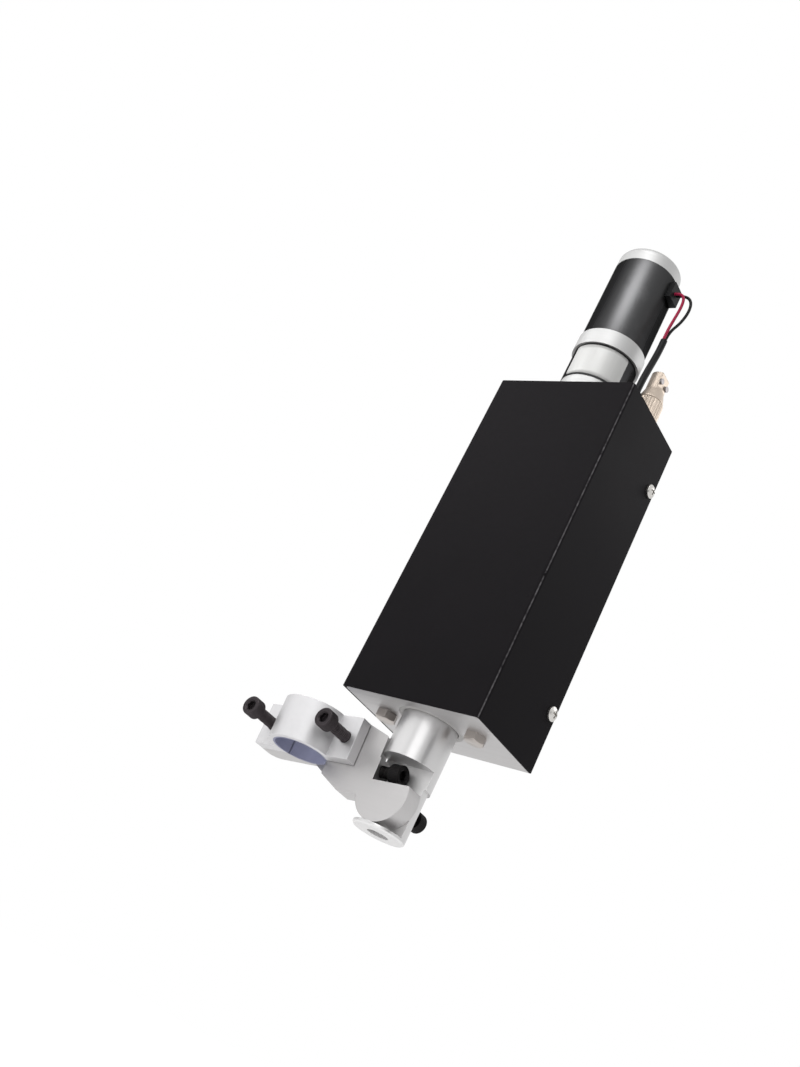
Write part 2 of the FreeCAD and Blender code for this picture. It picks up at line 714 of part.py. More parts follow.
def carriage():
    sides, depth = (f"-{CARRIAGE_SIDE}", CARRIAGE_SIDE), (f"-{CARRIAGE_HALF}", CARRIAGE_HALF)
    body = new_body("carriage_blank", y=AXIS, z=CARRIAGE_REST)
    pad(rectangle(new_sketch(body, "XY_Plane"), sides, depth), "carriage_height")
    corners = either(*[upright(x, y) for x in sides for y in depth])
    finish_edges(body, "Fillet", "Radius", "carriage_corner", corners)
    low, high = f"{CARRIAGE_REST} - cut_over", f"{CARRIAGE_TOP} + cut_over"
    tools = [bar("bearing_bore", "linear_bearing_radius + seat_gap", "z", (low, high), x=f"{side}{GUIDE_SIDE}",
                 y=AXIS) for side in ("", "-")]
    tools.append(bar("nut_bore", "nut_radius + seat_gap", "z", (low, high), x="0", y=AXIS))
    tools.append(bar("rod_seat_bore", "rod_radius + seat_gap", "z", (low, f"{CARRIAGE_REST} + rod_seat"),
                     x="0", y=AXIS))
    for x, y in circle_places("nut_screw_circle"):
        tools.append(bar("nut_thread", "nut_screw_radius + seat_gap", "z",
                         (f"{CARRIAGE_TOP} - nut_screw_grip - cut_over", high), x=x, y=y))
    for span in set_screw_spans("carriage_back_room"):
        tools.append(bar("set_screw_thread", "rod_set_screw_radius + seat_gap", "y", span,
                         x="0", z=SET_SCREW_HEIGHT))
    tools.append(flag("flag_slot", "flag_thickness / 2 + seat_gap", "seat_gap"))
    done(cut("carriage", body, *tools))
    spans = set_screw_spans("rod_set_screw_length")
    done(group("rod_set_screws", [bar("rod_set_screw", "rod_set_screw_radius", "y", span, x="0",
                                      z=SET_SCREW_HEIGHT) for span in spans]))
    span = (f"{CARRIAGE_MID} - linear_bearing_length / 2", f"{CARRIAGE_MID} + linear_bearing_length / 2")
    for name, side in (("linear_bearing_left", "-"), ("linear_bearing_right", "")):
        done(ring(name, "linear_bearing_radius", "guide_radius + running_gap", span,
                  x=f"{side}{GUIDE_SIDE}", y=AXIS))
    done(flag("sensor_flag", "flag_thickness / 2", "0"))


def flag(name, half, grow):
    return block(name, (f"-sensor_side - ({half})", f"{half} - sensor_side"),
                 (f"{CARRIAGE_BACK} - flag_root - {grow}", f"{BRACKET_FACE} - sensor_base - flag_tip_gap"),
                 (f"{FLAG_BASE} - {grow}", f"{FLAG_BASE} + flag_height + {grow}"))


def screw_nut():
    bore, seat = "screw_radius + running_gap", CARRIAGE_TOP
    blank = turned("screw_nut_turning", [
        (bore, f"{seat} - nut_length"), ("nut_radius", f"{seat} - nut_length"), ("nut_radius", seat),
        ("nut_flange_radius", seat), ("nut_flange_radius", f"{seat} + nut_flange"),
        (bore, f"{seat} + nut_flange")])
    places = circle_places("nut_screw_circle")
    through = (f"{seat} - cut_over", f"{seat} + nut_flange + cut_over")
    done(cut("screw_nut", blank, *[bar("nut_hole", "nut_screw_radius + slide_gap", "z", through, x=x, y=y)
                                   for x, y in places]))
    under, crown = f"{seat} + nut_flange", f"{seat} + nut_flange + nut_screw_head"
    done(group("nut_screws", [
        cap_screw("nut_screw", "z", (f"{seat} - nut_screw_grip", under), (under, crown), "nut_screw_radius",
                  "nut_screw_head_radius", (f"{crown} - nut_screw_head / 2", crown), "nut_screw_flats",
                  x=x, y=y) for x, y in places]))


# Lead screw, its bearing block, and the coupling to the gearmotor
def screw_drive():
    stub_top = f"({COUPLING_MID} - coupling_shaft_gap / 2)"
    shoulder = f"({BEARING_BASE} - slide_gap)"
    lock_nut = (f"{BEARING_TOP} + slide_gap", LOCK_NUT_TOP)
    done(turned("lead_screw", [
        ("0", SCREW_END), ("screw_radius - rod_chamfer", SCREW_END),
        ("screw_radius", f"{SCREW_END} + rod_chamfer"), ("screw_radius", shoulder),
        ("journal_radius", shoulder), ("journal_radius", LOCK_NUT_TOP),
        ("stub_radius", LOCK_NUT_TOP), ("stub_radius", stub_top), ("0", stub_top)]))
    done(cut("bearing_lock_nut", hexagon("lock_nut_hex", "lock_nut_flats", "z", lock_nut, x="0", y=AXIS),
             bar("lock_nut_bore", "journal_radius + seat_gap", "z", lock_nut, x="0", y=AXIS)))
    done(ring("screw_bearing", "ball_bearing_radius", "journal_radius + running_gap",
              (BEARING_BASE, BEARING_TOP), x="0", y=AXIS))
    body = new_body("bearing_block_blank", z=BLOCK_BASE)
    half, front = f"({GUIDE_EDGE} - block_guide_room)", f"{AXIS} - block_nose"
    pad(rectangle(new_sketch(body, "XY_Plane"), (f"-{half}", half), (front, PLATE_FRONT)), "block_height")
    nose = either(upright(f"-{half}", front), upright(half, front))
    finish_edges(body, "Fillet", "Radius", "block_round", nose)
    top = f"{BLOCK_BASE} + block_height + cut_over"
    threads = [back_screw_holes(f"block_thread_{i}", *place)[0] for i, place in enumerate(BLOCK_SCREWS)]
    done(cut("bearing_block", body,
             bar("bearing_pocket", "ball_bearing_radius + seat_gap", "z", (BEARING_BASE, top), x="0", y=AXIS),
             bar("screw_passage", "block_hole_radius", "z", (f"{BLOCK_BASE} - cut_over", top), x="0", y=AXIS),
             *threads))
    grip = "coupling_radius - stub_radius - seat_gap"
    spots = [f"({COUPLING_MID} + {sign}coupling_length / 4)" for sign in ("", "-")]
    span = ("stub_radius + seat_gap", f"stub_radius + seat_gap + {grip}")
    holes = [bar("coupling_thread", "coupling_screw_radius + seat_gap", "x", span, y=AXIS, z=z) for z in spots]
    sleeve = (COUPLING_BASE, COUPLING_TOP)
    through = (f"{COUPLING_BASE} - cut_over", f"{COUPLING_TOP} + cut_over")
    done(cut("drive_coupling", bar("coupling_sleeve", "coupling_radius", "z", sleeve, x="0", y=AXIS),
             bar("coupling_bore", "stub_radius + seat_gap", "z", through, x="0", y=AXIS), *holes))
    done(group("coupling_screws", [bar("coupling_screw", "coupling_screw_radius", "x",
                                       (span[0], f"{span[1]} - slide_gap"), y=AXIS, z=z) for z in spots]))
    shaft_low = f"{COUPLING_MID} + coupling_shaft_gap / 2"
    done(bar("gearbox_shaft", "stub_radius", "z", (shaft_low, f"{TOP} + pilot_height"), x="0", y=AXIS))


# Gearmotor: flange, gearbox, ring, motor can and end cap, stacked on the top plate
def gearmotor():
    hole, hole_top = "stub_radius + running_gap", f"{TOP} + pilot_height + slide_gap"
    flange = turned("gearbox_flange_turning", [
        (hole, f"{TOP} - pilot_height"), ("pilot_radius", f"{TOP} - pilot_height"), ("pilot_radius", TOP),
        ("flange_radius", TOP), ("flange_radius", GEARBOX_BASE), ("0", GEARBOX_BASE), ("0", hole_top),
        (hole, hole_top)])
    places = circle_places("gearbox_screw_circle")
    thread = (f"{TOP} - cut_over", f"{TOP} + gearbox_screw_grip + cut_over")
    threads = [bar("gearbox_thread", "gearbox_screw_radius + seat_gap", "z", thread, x=x, y=y)
               for x, y in places]
    done(cut("gearbox_flange", flange, *threads))
    low, seat = f"{UNDER_TOP} - gearbox_screw_head", UNDER_TOP
    done(group("gearbox_screws", [
        cap_screw("gearbox_screw", "z", (seat, f"{TOP} + gearbox_screw_grip"), (low, seat),
                  "gearbox_screw_radius", "gearbox_screw_head_radius",
                  (low, f"{low} + gearbox_screw_head / 2"), "gearbox_screw_flats", x=x, y=y)
        for x, y in places]))
    done(bar("gearbox_body", "gearbox_radius", "z", (GEARBOX_BASE, RING_BASE), x="0", y=AXIS))
    done(bar("motor_ring", "ring_radius", "z", (RING_BASE, CAN_BASE), x="0", y=AXIS))
    done(bar("motor_can", "can_radius", "z", (CAN_BASE, CAN_TOP), x="0", y=AXIS))
    cap = new_body("motor_end_cap", y=AXIS, z=CAN_TOP)
    pad(circle(new_sketch(cap, "XY_Plane"), "can_radius"), "end_cap_height")
    rim = number("end_cap_height")
    finish_edges(cap, "Fillet", "Radius", "end_cap_rounding",
                 lambda edge: all(abs(v.Z - rim) < NEAR for v in edge.Vertexes))
    done(cap)


# Round connector, standing on the top plate behind the gearmotor
def connector():
    place = {"x": CONNECTOR_SIDE, "y": "-connector_setback"}
    flange_top = f"({TOP} + connector_flange)"
    ring_top = f"({flange_top} + connector_ring_height)"
    body_top = f"({ring_top} + connector_body_height)"
    clamp_top = f"({body_top} + cable_clamp_height)"
    low = f"{UNDER_TOP} - connector_tail"
    done(turned("connector_socket", [
        ("0", low), ("connector_radius", low), ("connector_radius", TOP), ("connector_flange_radius", TOP),
        ("connector_flange_radius", flange_top), ("0", flange_top)], place["x"], place["y"]))
    neck = "connector_body_radius - connector_step"
    done(ring("connector_ring", "connector_ring_radius", f"{neck} + slide_gap", (flange_top, ring_top),
              **place))
    done(turned("connector_plug", [
        ("0", flange_top), (neck, flange_top), (neck, ring_top), ("connector_body_radius", ring_top),
        ("connector_body_radius", f"{body_top} - connector_taper"),
        ("cable_clamp_radius", body_top), ("cable_hole_radius", body_top),
        ("cable_hole_radius", f"{body_top} - connector_body_height / 2"),
        ("0", f"{body_top} - connector_body_height / 2")], place["x"], place["y"]))
    # Cable clamp: a tube with a saddle flat on its right side that two screws close
    outside = f"({CONNECTOR_SIDE} + cable_clamp_radius)"
    saddle = f"({outside} - cable_clamp_flat)"
    wide = ("-connector_setback - cable_clamp_radius", "cable_clamp_radius - connector_setback")
    tube = bar("cable_clamp_tube", "cable_clamp_radius", "z", (body_top, clamp_top), **place)
    flat = block("cable_clamp_flat_cut", (saddle, outside), wide,
                 (f"{body_top} + cable_clamp_collar", clamp_top))
    hole = bar("cable_clamp_hole", "cable_hole_radius", "z",
               (f"{body_top} - cut_over", f"{clamp_top} + cut_over"), **place)
    spread = "(cable_hole_radius + clamp_screw_radius + clamp_screw_wall)"
    places = [{"y": f"{side}{spread} - connector_setback", "z": f"{body_top} + cable_clamp_height / 2"}
              for side in ("", "-")]
    tip = f"{saddle} - clamp_screw_length"
    threads = [bar("clamp_thread", "clamp_screw_radius + seat_gap", "x",
                   (f"{tip} - slide_gap", outside), **spot) for spot in places]
    done(cut("cable_clamp", tube, flat, hole, *threads))
    crown = (saddle, f"{saddle} + clamp_screw_head")
    done(group("cable_clamp_screws", [
        fuse("clamp_screw", bar("clamp_screw_shank", "clamp_screw_radius", "x", (tip, saddle), **spot),
             bar("clamp_screw_crown", "clamp_screw_head_radius", "x", crown, **spot)) for spot in places]))


# Limit sensors: two slotted optical sensors on a bracket, passed by the carriage's flag
SENSOR_MIDDLES = (f"({FLAG_BASE} + flag_height / 2)", f"({FLAG_BASE} + flag_height / 2 - stroke)")


def bracket_screw_height(end):
    upper, lower = SENSOR_MIDDLES
    reach = "(sensor_height / 2 + bracket_margin / 2)"
    return f"{upper} + {reach}" if end == "" else f"{lower} - {reach}"


def bracket_screw_hole(end):
    return bar("bracket_thread", "bracket_screw_radius + seat_gap", "y",
               (f"{BRACKET_FACE} - bracket_screw_head", f"{PLATE_FRONT} + bracket_screw_grip + slide_gap"),
               x="-sensor_side", z=bracket_screw_height(end))


def slotted_sensor(name, middle):
    half = "sensor_width / 2"
    low, high = f"{middle} - sensor_height / 2", f"{middle} + sensor_height / 2"
    solid = block(name + "_case", (f"-sensor_side - {half}", f"{half} - sensor_side"),
                  (SENSOR_FACE, BRACKET_FACE), (low, high))
    slot = block(name + "_slot", ("-sensor_side - sensor_slot / 2", "sensor_slot / 2 - sensor_side"),
                 (f"{SENSOR_FACE} - cut_over", f"{BRACKET_FACE} - sensor_base"),
                 (f"{low} - cut_over", f"{high} + cut_over"))
    done(cut(name, solid, slot))


def sensors():
    upper, lower = SENSOR_MIDDLES
    reach = "(sensor_height / 2 + bracket_margin)"
    plate = block("sensor_bracket_plate", ("-sensor_side - sensor_width / 2", "sensor_width / 2 - sensor_side"),
                  (BRACKET_FACE, PLATE_FRONT), (f"{lower} - {reach}", f"{upper} + {reach}"))
    done(cut("sensor_bracket", plate, bracket_screw_hole(""), bracket_screw_hole("-")))
    slotted_sensor("upper_limit_sensor", upper)
    slotted_sensor("lower_limit_sensor", lower)
    head = (f"{BRACKET_FACE} - bracket_screw_head", BRACKET_FACE)
    screws = []
    for end in ("", "-"):
        place = {"x": "-sensor_side", "z": bracket_screw_height(end)}
        screws.append(fuse("bracket_screw",
                           bar("bracket_screw_shank", "bracket_screw_radius", "y",
                               (BRACKET_FACE, f"{PLATE_FRONT} + bracket_screw_grip"), **place),
                           bar("bracket_screw_crown", "bracket_screw_head_radius", "y", head, **place)))
    done(group("bracket_screws", screws))


# Tilting arm and torch holder, drawn about the pivot and tilted together
def on_arm(item):
    item.Placement = Placement(Vector(), Rotation(Vector(0, 1, 0), 1))
    bind(item, "Placement.Base.y", f"{AXIS} - slide_gap")
    bind(item, "Placement.Base.z", PIVOT)
    bind(item, "Placement.Rotation.Angle", "-arm_tilt")
    done(item)


TORCH = {"x": "-holder_reach", "y": "slide_gap - torch_offset"}
HOLDER_SPAN = ("-holder_reach - holder_half_span", "holder_half_span - holder_reach")


def cap_screw_places():
    return [f"{side}cap_screw_side - holder_reach" for side in ("", "-")]


def torch_arm():
    """Flat arm with a round hub; its left end is the rear half of the torch holder."""
    body = new_body("torch_arm_plate")
    pad(circle(new_sketch(body, "XZ_Plane"), "hub_radius"), "arm_thickness")
    ledge = new_sketch(body, "XZ_Plane")
    rectangle(ledge, ("-arm_edge", "hub_radius + cut_over"), ("hub_ledge", "hub_radius + cut_over"))
    pocket(ledge, "arm_thickness", along_normal=True)
    left, right = HOLDER_SPAN
    web = new_sketch(body, "XZ_Plane")
    outline(web, [
        ("-arm_edge", "-arm_knee_drop"), ("-arm_edge", "arm_shoulder"), (right, HOLDER_TOP),
        (left, HOLDER_TOP), (left, "holder_base"), ("-holder_reach", "holder_base"),
        ("-arm_knee_side", "-arm_knee_drop")])
    pad(web, "arm_thickness")
    finish_edges(body, "Fillet", "Radius", "holder_end_round", upright(left, "0"))
    above = f"{HOLDER_TOP} + cut_over"
    torch = bar("arm_torch_bore", LINER_RADIUS, "z", ("-arm_knee_drop - cut_over", above), **TORCH)
    recess = bar("arm_rod_recess", "rod_radius + rod_recess_gap", "z", ("notch_rise - rod_recess_foot", above),
                 x="rod_recess_shift", y="0")
    pivot_hole = bar("arm_pivot_hole", "pivot_bolt_radius + running_gap", "y",
                     ("-pivot_bolt_depth - pivot_end_gap", "cut_over"), x="0", z="0")
    through = ("-arm_thickness - cut_over", "cut_over")
    threads = [bar("arm_cap_thread", "cap_screw_radius + seat_gap", "y", through, x=x, z=HOLDER_MID)
               for x in cap_screw_places()]
    side_thread = bar("arm_side_thread", "side_screw_radius + seat_gap", "x",
                      ("-arm_edge - side_screw_grip - cut_over", "0"), y="-arm_thickness / 2",
                      z="side_screw_rise")
    on_arm(cut("torch_arm", body, torch, recess, pivot_hole, side_thread, *threads))


def holder_cap():
    """Front half of the holder: a round bow between two flat ears."""
    body = new_body("holder_cap_bow", z="holder_base")
    bow = circle(new_sketch(body, "XY_Plane"), f"{LINER_RADIUS} + cap_wall", TORCH["x"], TORCH["y"])
    pad(bow, "holder_height")
    pad(rectangle(new_sketch(body, "XY_Plane"), HOLDER_SPAN, (EAR_FRONT, SPLIT)), "holder_height")
    behind = new_sketch(body, "XY_Plane")
    rectangle(behind, HOLDER_SPAN, (SPLIT, "torch_radius"))
    pocket(behind, "holder_height", along_normal=True)
    height = ("holder_base - cut_over", f"{HOLDER_TOP} + cut_over")
    through = (f"{EAR_FRONT} - cut_over", f"{SPLIT} + cut_over")
    holes = [bar("cap_hole", "cap_screw_radius + slide_gap", "y", through, x=x, z=HOLDER_MID)
             for x in cap_screw_places()]
    on_arm(cut("holder_cap", body, bar("cap_bore", LINER_RADIUS, "z", height, **TORCH), *holes))


def liner(name, y):
    """One half of the split sleeve that grips the torch."""
    height = ("holder_base", HOLDER_TOP)
    sleeve = ring(name + "_sleeve", LINER_RADIUS, "torch_radius", height, **TORCH)
    half = doc.addObject("Part::Common", name)
    half.Base = sleeve
    half.Tool = block(name + "_side", HOLDER_SPAN, y, height)
    on_arm(half)


def arm_screws():
    seat = f"{EAR_FRONT} - cap_screw_stand"
    crown = f"{seat} - socket_head"
    screws = [cap_screw("holder_screw", "y", (seat, "-cap_screw_tip"), (crown, seat), "cap_screw_radius",
                        "socket_head_radius", (crown, f"{crown} + socket_depth"), "socket_flats", x=x,
                        z=HOLDER_MID) for x in cap_screw_places()]
    on_arm(group("cap_screws", screws))
    seat, crown = "side_screw_crown - socket_head", "side_screw_crown"
    on_arm(cap_screw("arm_side_screw", "x", ("-arm_edge - side_screw_grip", seat), (seat, crown),
                     "side_screw_radius", "socket_head_radius", (f"{crown} - socket_depth", crown),
                     "socket_flats", y="-arm_thickness / 2", z="side_screw_rise"))


# Motor leads: two wires loop out of the terminal block and run down a sleeve to a grommet
SLEEVE_ROUTE = [
    (41.2, -46, 193), (41.2, -46, 183), (42, -48.4, 171), (43.9, -52.6, 156), (45, -55, 144), (45, -55, 132)]
RED_ROUTE = [
    (29.3, -42, 243), (34.5, -42, 243), (39, -42.4, 238), (41, -43.6, 228), (41.2, -45.8, 213),
    (41.2, -47.2, 202), (41.2, -47.2, 193)]
BLACK_ROUTE = [
    (29.3, -38, 244.5), (36, -38, 244.5), (43, -38.3, 239), (46, -39.4, 228), (45, -41.6, 214),
    (41.2, -44.8, 202), (41.2, -44.8, 193)]
ARC_SHARE = 0.45


def grommet_place():
    x, y, z = SLEEVE_ROUTE[-1]
    return str(x), str(y)


def tube(name, route, radius):
    """Soft lead of straight runs joined by tangent arcs as large as the runs allow."""
    points = [Vector(*place) for place in route]
    edges, start, radii = [], points[0], []
    for before, corner, after in zip(points, points[1:], points[2:]):
        inward, outward = corner - before, after - corner
        reach = ARC_SHARE * min(inward.Length, outward.Length)
        turn = inward.getAngle(outward)
        radii.append(round(reach / math.tan(turn / 2), 1))
        first = corner - inward.normalize() * reach
        last = corner + outward.normalize() * reach
        bow = (inward * -1 + outward).normalize()
        middle = corner + bow * reach * math.tan(turn / 4)
        edges += [Part.LineSegment(start, first).toShape(), Part.Arc(first, middle, last).toShape()]
        start = last
    edges.append(Part.LineSegment(start, points[-1]).toShape())
    path = Part.Wire(edges)
    section = Part.Wire(Part.Circle(points[0], points[1] - points[0], number(radius)).toShape())
    item = doc.addObject("Part::Feature", name)
    item.Shape = path.makePipeShell([section], True, True)
    item.Placement = Placement()
    expected = math.pi * number(radius) ** 2 * path.Length
    share = item.Shape.Volume / expected
    print(f"{name}: {path.Length:.0f} mm, radii {radii}, volume {share:.3f} of section x length")
    done(item)


def motor_leads():
    x, y = grommet_place()
    tube("lead_sleeve", SLEEVE_ROUTE, "sleeve_radius")
    tube("lead_red", RED_ROUTE, "lead_radius")
    tube("lead_black", BLACK_ROUTE, "lead_radius")
    grommet = turned("lead_grommet", [
        ("0", UNDER_TOP), ("grommet_radius", UNDER_TOP), ("grommet_radius", TOP),
        ("grommet_collar_radius", TOP), ("grommet_collar_radius", f"{TOP} + grommet_collar / 2"),
        ("sleeve_radius + grommet_lip", f"{TOP} + grommet_collar"), ("0", f"{TOP} + grommet_collar")], x, y)
    done(grommet)
    middle = f"{AXIS} + terminal_shift"
    top = f"{CAN_TOP} - terminal_drop"
    case = block("terminal_block_case", ("0", "can_radius + terminal_stand"),
                 (f"{middle} - terminal_width / 2", f"{middle} + terminal_width / 2"),
                 (f"{top} - terminal_height", top))
    curve = bar("terminal_curve", "can_radius + seat_gap", "z", (CAN_BASE, CAN_TOP), x="0", y=AXIS)
    done(cut("terminal_block", case, curve))


front_cover()
back_plate()
end_plates()
guides()
rod_guide()
lift_rod()
pivot()
carriage()
screw_nut()
screw_drive()
gearmotor()
motor_leads()
connector()
sensors()
torch_arm()
holder_cap()
liner("liner_front", ("-torch_offset - torch_radius * 2", "-arm_thickness - liner_split"))
liner("liner_rear", ("-arm_thickness + liner_split", "0"))
arm_screws()
doc.recompute()

for item in doc.Objects:
    if {"Invalid", "Error"} & set(item.State):
        raise RuntimeError(f"{item.Label} failed: {item.State}")
for item in finished:
    if item.Shape.isNull() or not item.Shape.isValid() or not item.Shape.Solids:
        raise RuntimeError(f"{item.Label} has no valid solid")

os.makedirs("parts", exist_ok=True)
for item in finished:
    item.Shape.exportStep(f"parts/{item.Label}.step")
print(f"{len(finished)} sub-parts")
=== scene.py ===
import json
import math

import bmesh
import bpy
from bpy.props import FloatProperty, FloatVectorProperty, IntProperty, PointerProperty
from mathutils import Matrix, Vector


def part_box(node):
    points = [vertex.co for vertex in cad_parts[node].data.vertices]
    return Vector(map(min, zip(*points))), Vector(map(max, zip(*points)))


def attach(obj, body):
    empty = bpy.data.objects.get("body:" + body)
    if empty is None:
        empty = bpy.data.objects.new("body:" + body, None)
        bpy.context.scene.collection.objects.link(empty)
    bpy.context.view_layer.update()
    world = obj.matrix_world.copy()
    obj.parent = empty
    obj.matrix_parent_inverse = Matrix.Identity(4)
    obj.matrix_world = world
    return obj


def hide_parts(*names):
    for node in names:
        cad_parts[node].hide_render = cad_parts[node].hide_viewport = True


bl_info = {
    "name": "Torch height adjuster looks",
    "version": (1, 0, 0),
    "blender": (4, 5, 0),
    "location": "View3D > Sidebar > Torch lifter",
    "description": "Finishes, leads, screws, label and studio for the packed torch height adjuster",
    "category": "Object",
}

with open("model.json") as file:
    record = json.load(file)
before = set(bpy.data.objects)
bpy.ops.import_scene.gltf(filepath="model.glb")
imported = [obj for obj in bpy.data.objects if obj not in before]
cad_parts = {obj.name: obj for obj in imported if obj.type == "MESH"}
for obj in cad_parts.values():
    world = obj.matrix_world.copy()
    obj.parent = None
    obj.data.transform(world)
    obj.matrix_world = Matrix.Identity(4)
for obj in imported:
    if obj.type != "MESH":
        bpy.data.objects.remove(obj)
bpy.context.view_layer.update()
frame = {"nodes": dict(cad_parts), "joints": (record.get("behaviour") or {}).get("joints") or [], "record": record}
NODES = frame["nodes"]
MM = 0.001

# The arm's own axes at rest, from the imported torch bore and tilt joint
TORCH_AXIS = Vector(next(m["axis"] for m in frame["record"]["mounts"] if m["name"] == "torch_bore"))
PIVOT = Vector(next(j["pos_m"] for j in frame["joints"] if j["name"] == "arm_tilt"))
TILT_AXIS = Vector((0, 1, 0))
ARM_AXES = Matrix((TILT_AXIS.cross(TORCH_AXIS), TILT_AXIS, TORCH_AXIS)).transposed()
ARM = Matrix.Translation(PIVOT) @ ARM_AXES.to_4x4()
FRAME_AXES = Matrix()
X_AXIS, Y_AXIS = 0, 1

# Lead routes, as in the part's source, in millimetres
SLEEVE_ROUTE = [
    (45, -55, 132), (45, -55, 144), (43.9, -52.6, 156), (42, -48.4, 171), (41.2, -46, 183),
    (41.2, -46, 193)]
RED_ROUTE = [
    (29.3, -42, 243), (34.5, -42, 243), (39, -42.4, 238), (41, -43.6, 228), (41.2, -45.8, 213),
    (41.2, -47.2, 202), (41.2, -47.2, 193)]
BLACK_ROUTE = [
    (29.3, -38, 244.5), (36, -38, 244.5), (43, -38.3, 239), (46, -39.4, 228), (45, -41.6, 214),
    (41.2, -44.8, 202), (41.2, -44.8, 193)]
LEAD_BEVEL_STEPS = 6
LEAD_CURVE_STEPS = 16

# The camera, fitted to the housing's corners in the photograph
CAMERA_PLACE = (0.46265, -0.62489, -0.33958)
CAMERA_AXES = (
    (0.76141809, 0.48241724, 0.43303129),
    (-0.09547481, -0.57725299, 0.81096458),
    (0.6411919, -0.65882668, -0.39347217))
CAMERA_LENS = 40.585
CAMERA_SENSOR = 36
CAMERA_NEAR = 0.01

# Each softbox's place, target, width and height in metres, and its power in watts
SOFTBOXES = {
    "key_softbox": ((0.1, -0.512, 0.581), (0, -0.043, 0.22), 0.28, 0.1, 1.45),
    "rod_softbox": ((0.292, -0.766, 0.01), (0, -0.043, -0.17), 0.5, 0.4, 0.7),
    "front_softbox": ((-0.27, -0.40, 0.32), (0, -0.07, 0.12), 0.36, 0.13, 0.9),
    "side_softbox": ((0.28, 0.28, 0.36), (0.05, -0.04, 0.12), 0.4, 0.14, 0.5),
    "left_softbox": ((-0.85, -0.98, 0.32), (0, -0.04, -0.15), 1.6, 1.1, 2.2),
}
# The floor, a dark card that only reflections show, and the world as light and as background
FLOOR_HEIGHT = -0.42
FLOOR_REACH = 4
FLOOR_TONE = 0.86
FLOOR_GLOW = 0.55
CARD_BEARING = math.radians(68)
CARD_DISTANCE = 0.8
CARD_WIDTH = 0.2
CARD_FOOT = -0.2
CARD_TOP = 0.16
CARD_TONE = 0.02
WORLD_LIGHT = 0.55
WORLD_SEEN = 1.0
WHITE = (1, 1, 1, 1)
BLACK = (0, 0, 0, 1)

# How patterns are stretched along the axes
EVEN = (1, 1, 1)
ALONG_X = (0.05, 1, 1)
ALONG_Z = (1, 1, 0.05)
RINGS_ROUND_Z = (0.004, 0.004, 1)
STREAKS_ALONG_Z = (1, 1, 0.08)
ROUND_Z = (1, 1, 0)

# Shared by the finishes, with where wear, the cover's painted bend highlight and round surfaces start
# and are full, the painted bend highlight's tone, and the metal below a coat
NOISE_ROUGHNESS = 0.55
EDGE_SAMPLES = 6
WEAR_START, WEAR_FULL = 0.004, 0.16
BEND_HIGHLIGHT_START, BEND_HIGHLIGHT_FULL = 0.0012, 0.0003
ROUND_START, ROUND_FULL = 0.93, 0.97
BEND_HIGHLIGHT_TONE = (0.5, 0.48, 0.5)
BARE_OXIDE = (0.075, 0.068, 0.062)
# Worn-edge tone of the oxide copy that is painted lighter for the holder's clamp screws
BARE_OXIDE_PAINTED_LIGHTER = (0.24, 0.21, 0.22)

# Points nearer than the weld become one, and cutters stand past what they cut
WELD = 1e-6
SMOOTH_ANGLE = math.radians(32)
ROUND_SIDES = 48
SHANK_SIDES = 32
THREAD_STEPS = 20
THREAD_SIDES = 4
DOME_SEGMENTS = 64
DOME_RINGS = 96
HEX_SIDES = 6
FLATS_PER_CORNER = math.sqrt(3)
CROWN_PER_FLATS = 0.47
CROWN_SLOPE = 1.732
HEAD_CUTTER = 0.02
RING_CUTTER = 0.03
BORE_CUTTER = 0.05
BORE_START = -0.01

# The label's gap to the gearbox, its columns and rows, and the steps round its corners
LABEL_GAP = 0.00005
LABEL_COLUMNS = 40
LABEL_ROWS = 8
LABEL_CORNER_STEPS = 6


def colour(name, description, default):
    return FloatVectorProperty(name=name, description=description, default=default,
                               subtype="COLOR", size=3, min=0, max=1)


def length(name, description, millimetres):
    return FloatProperty(name=name, description=description, default=millimetres * MM,
                         unit="LENGTH", subtype="DISTANCE", min=0, precision=5)


def angle(name, description, degrees):
    return FloatProperty(name=name, description=description, default=math.radians(degrees),
                         subtype="ANGLE")


def count(name, description, default):
    return IntProperty(name=name, description=description, default=default)


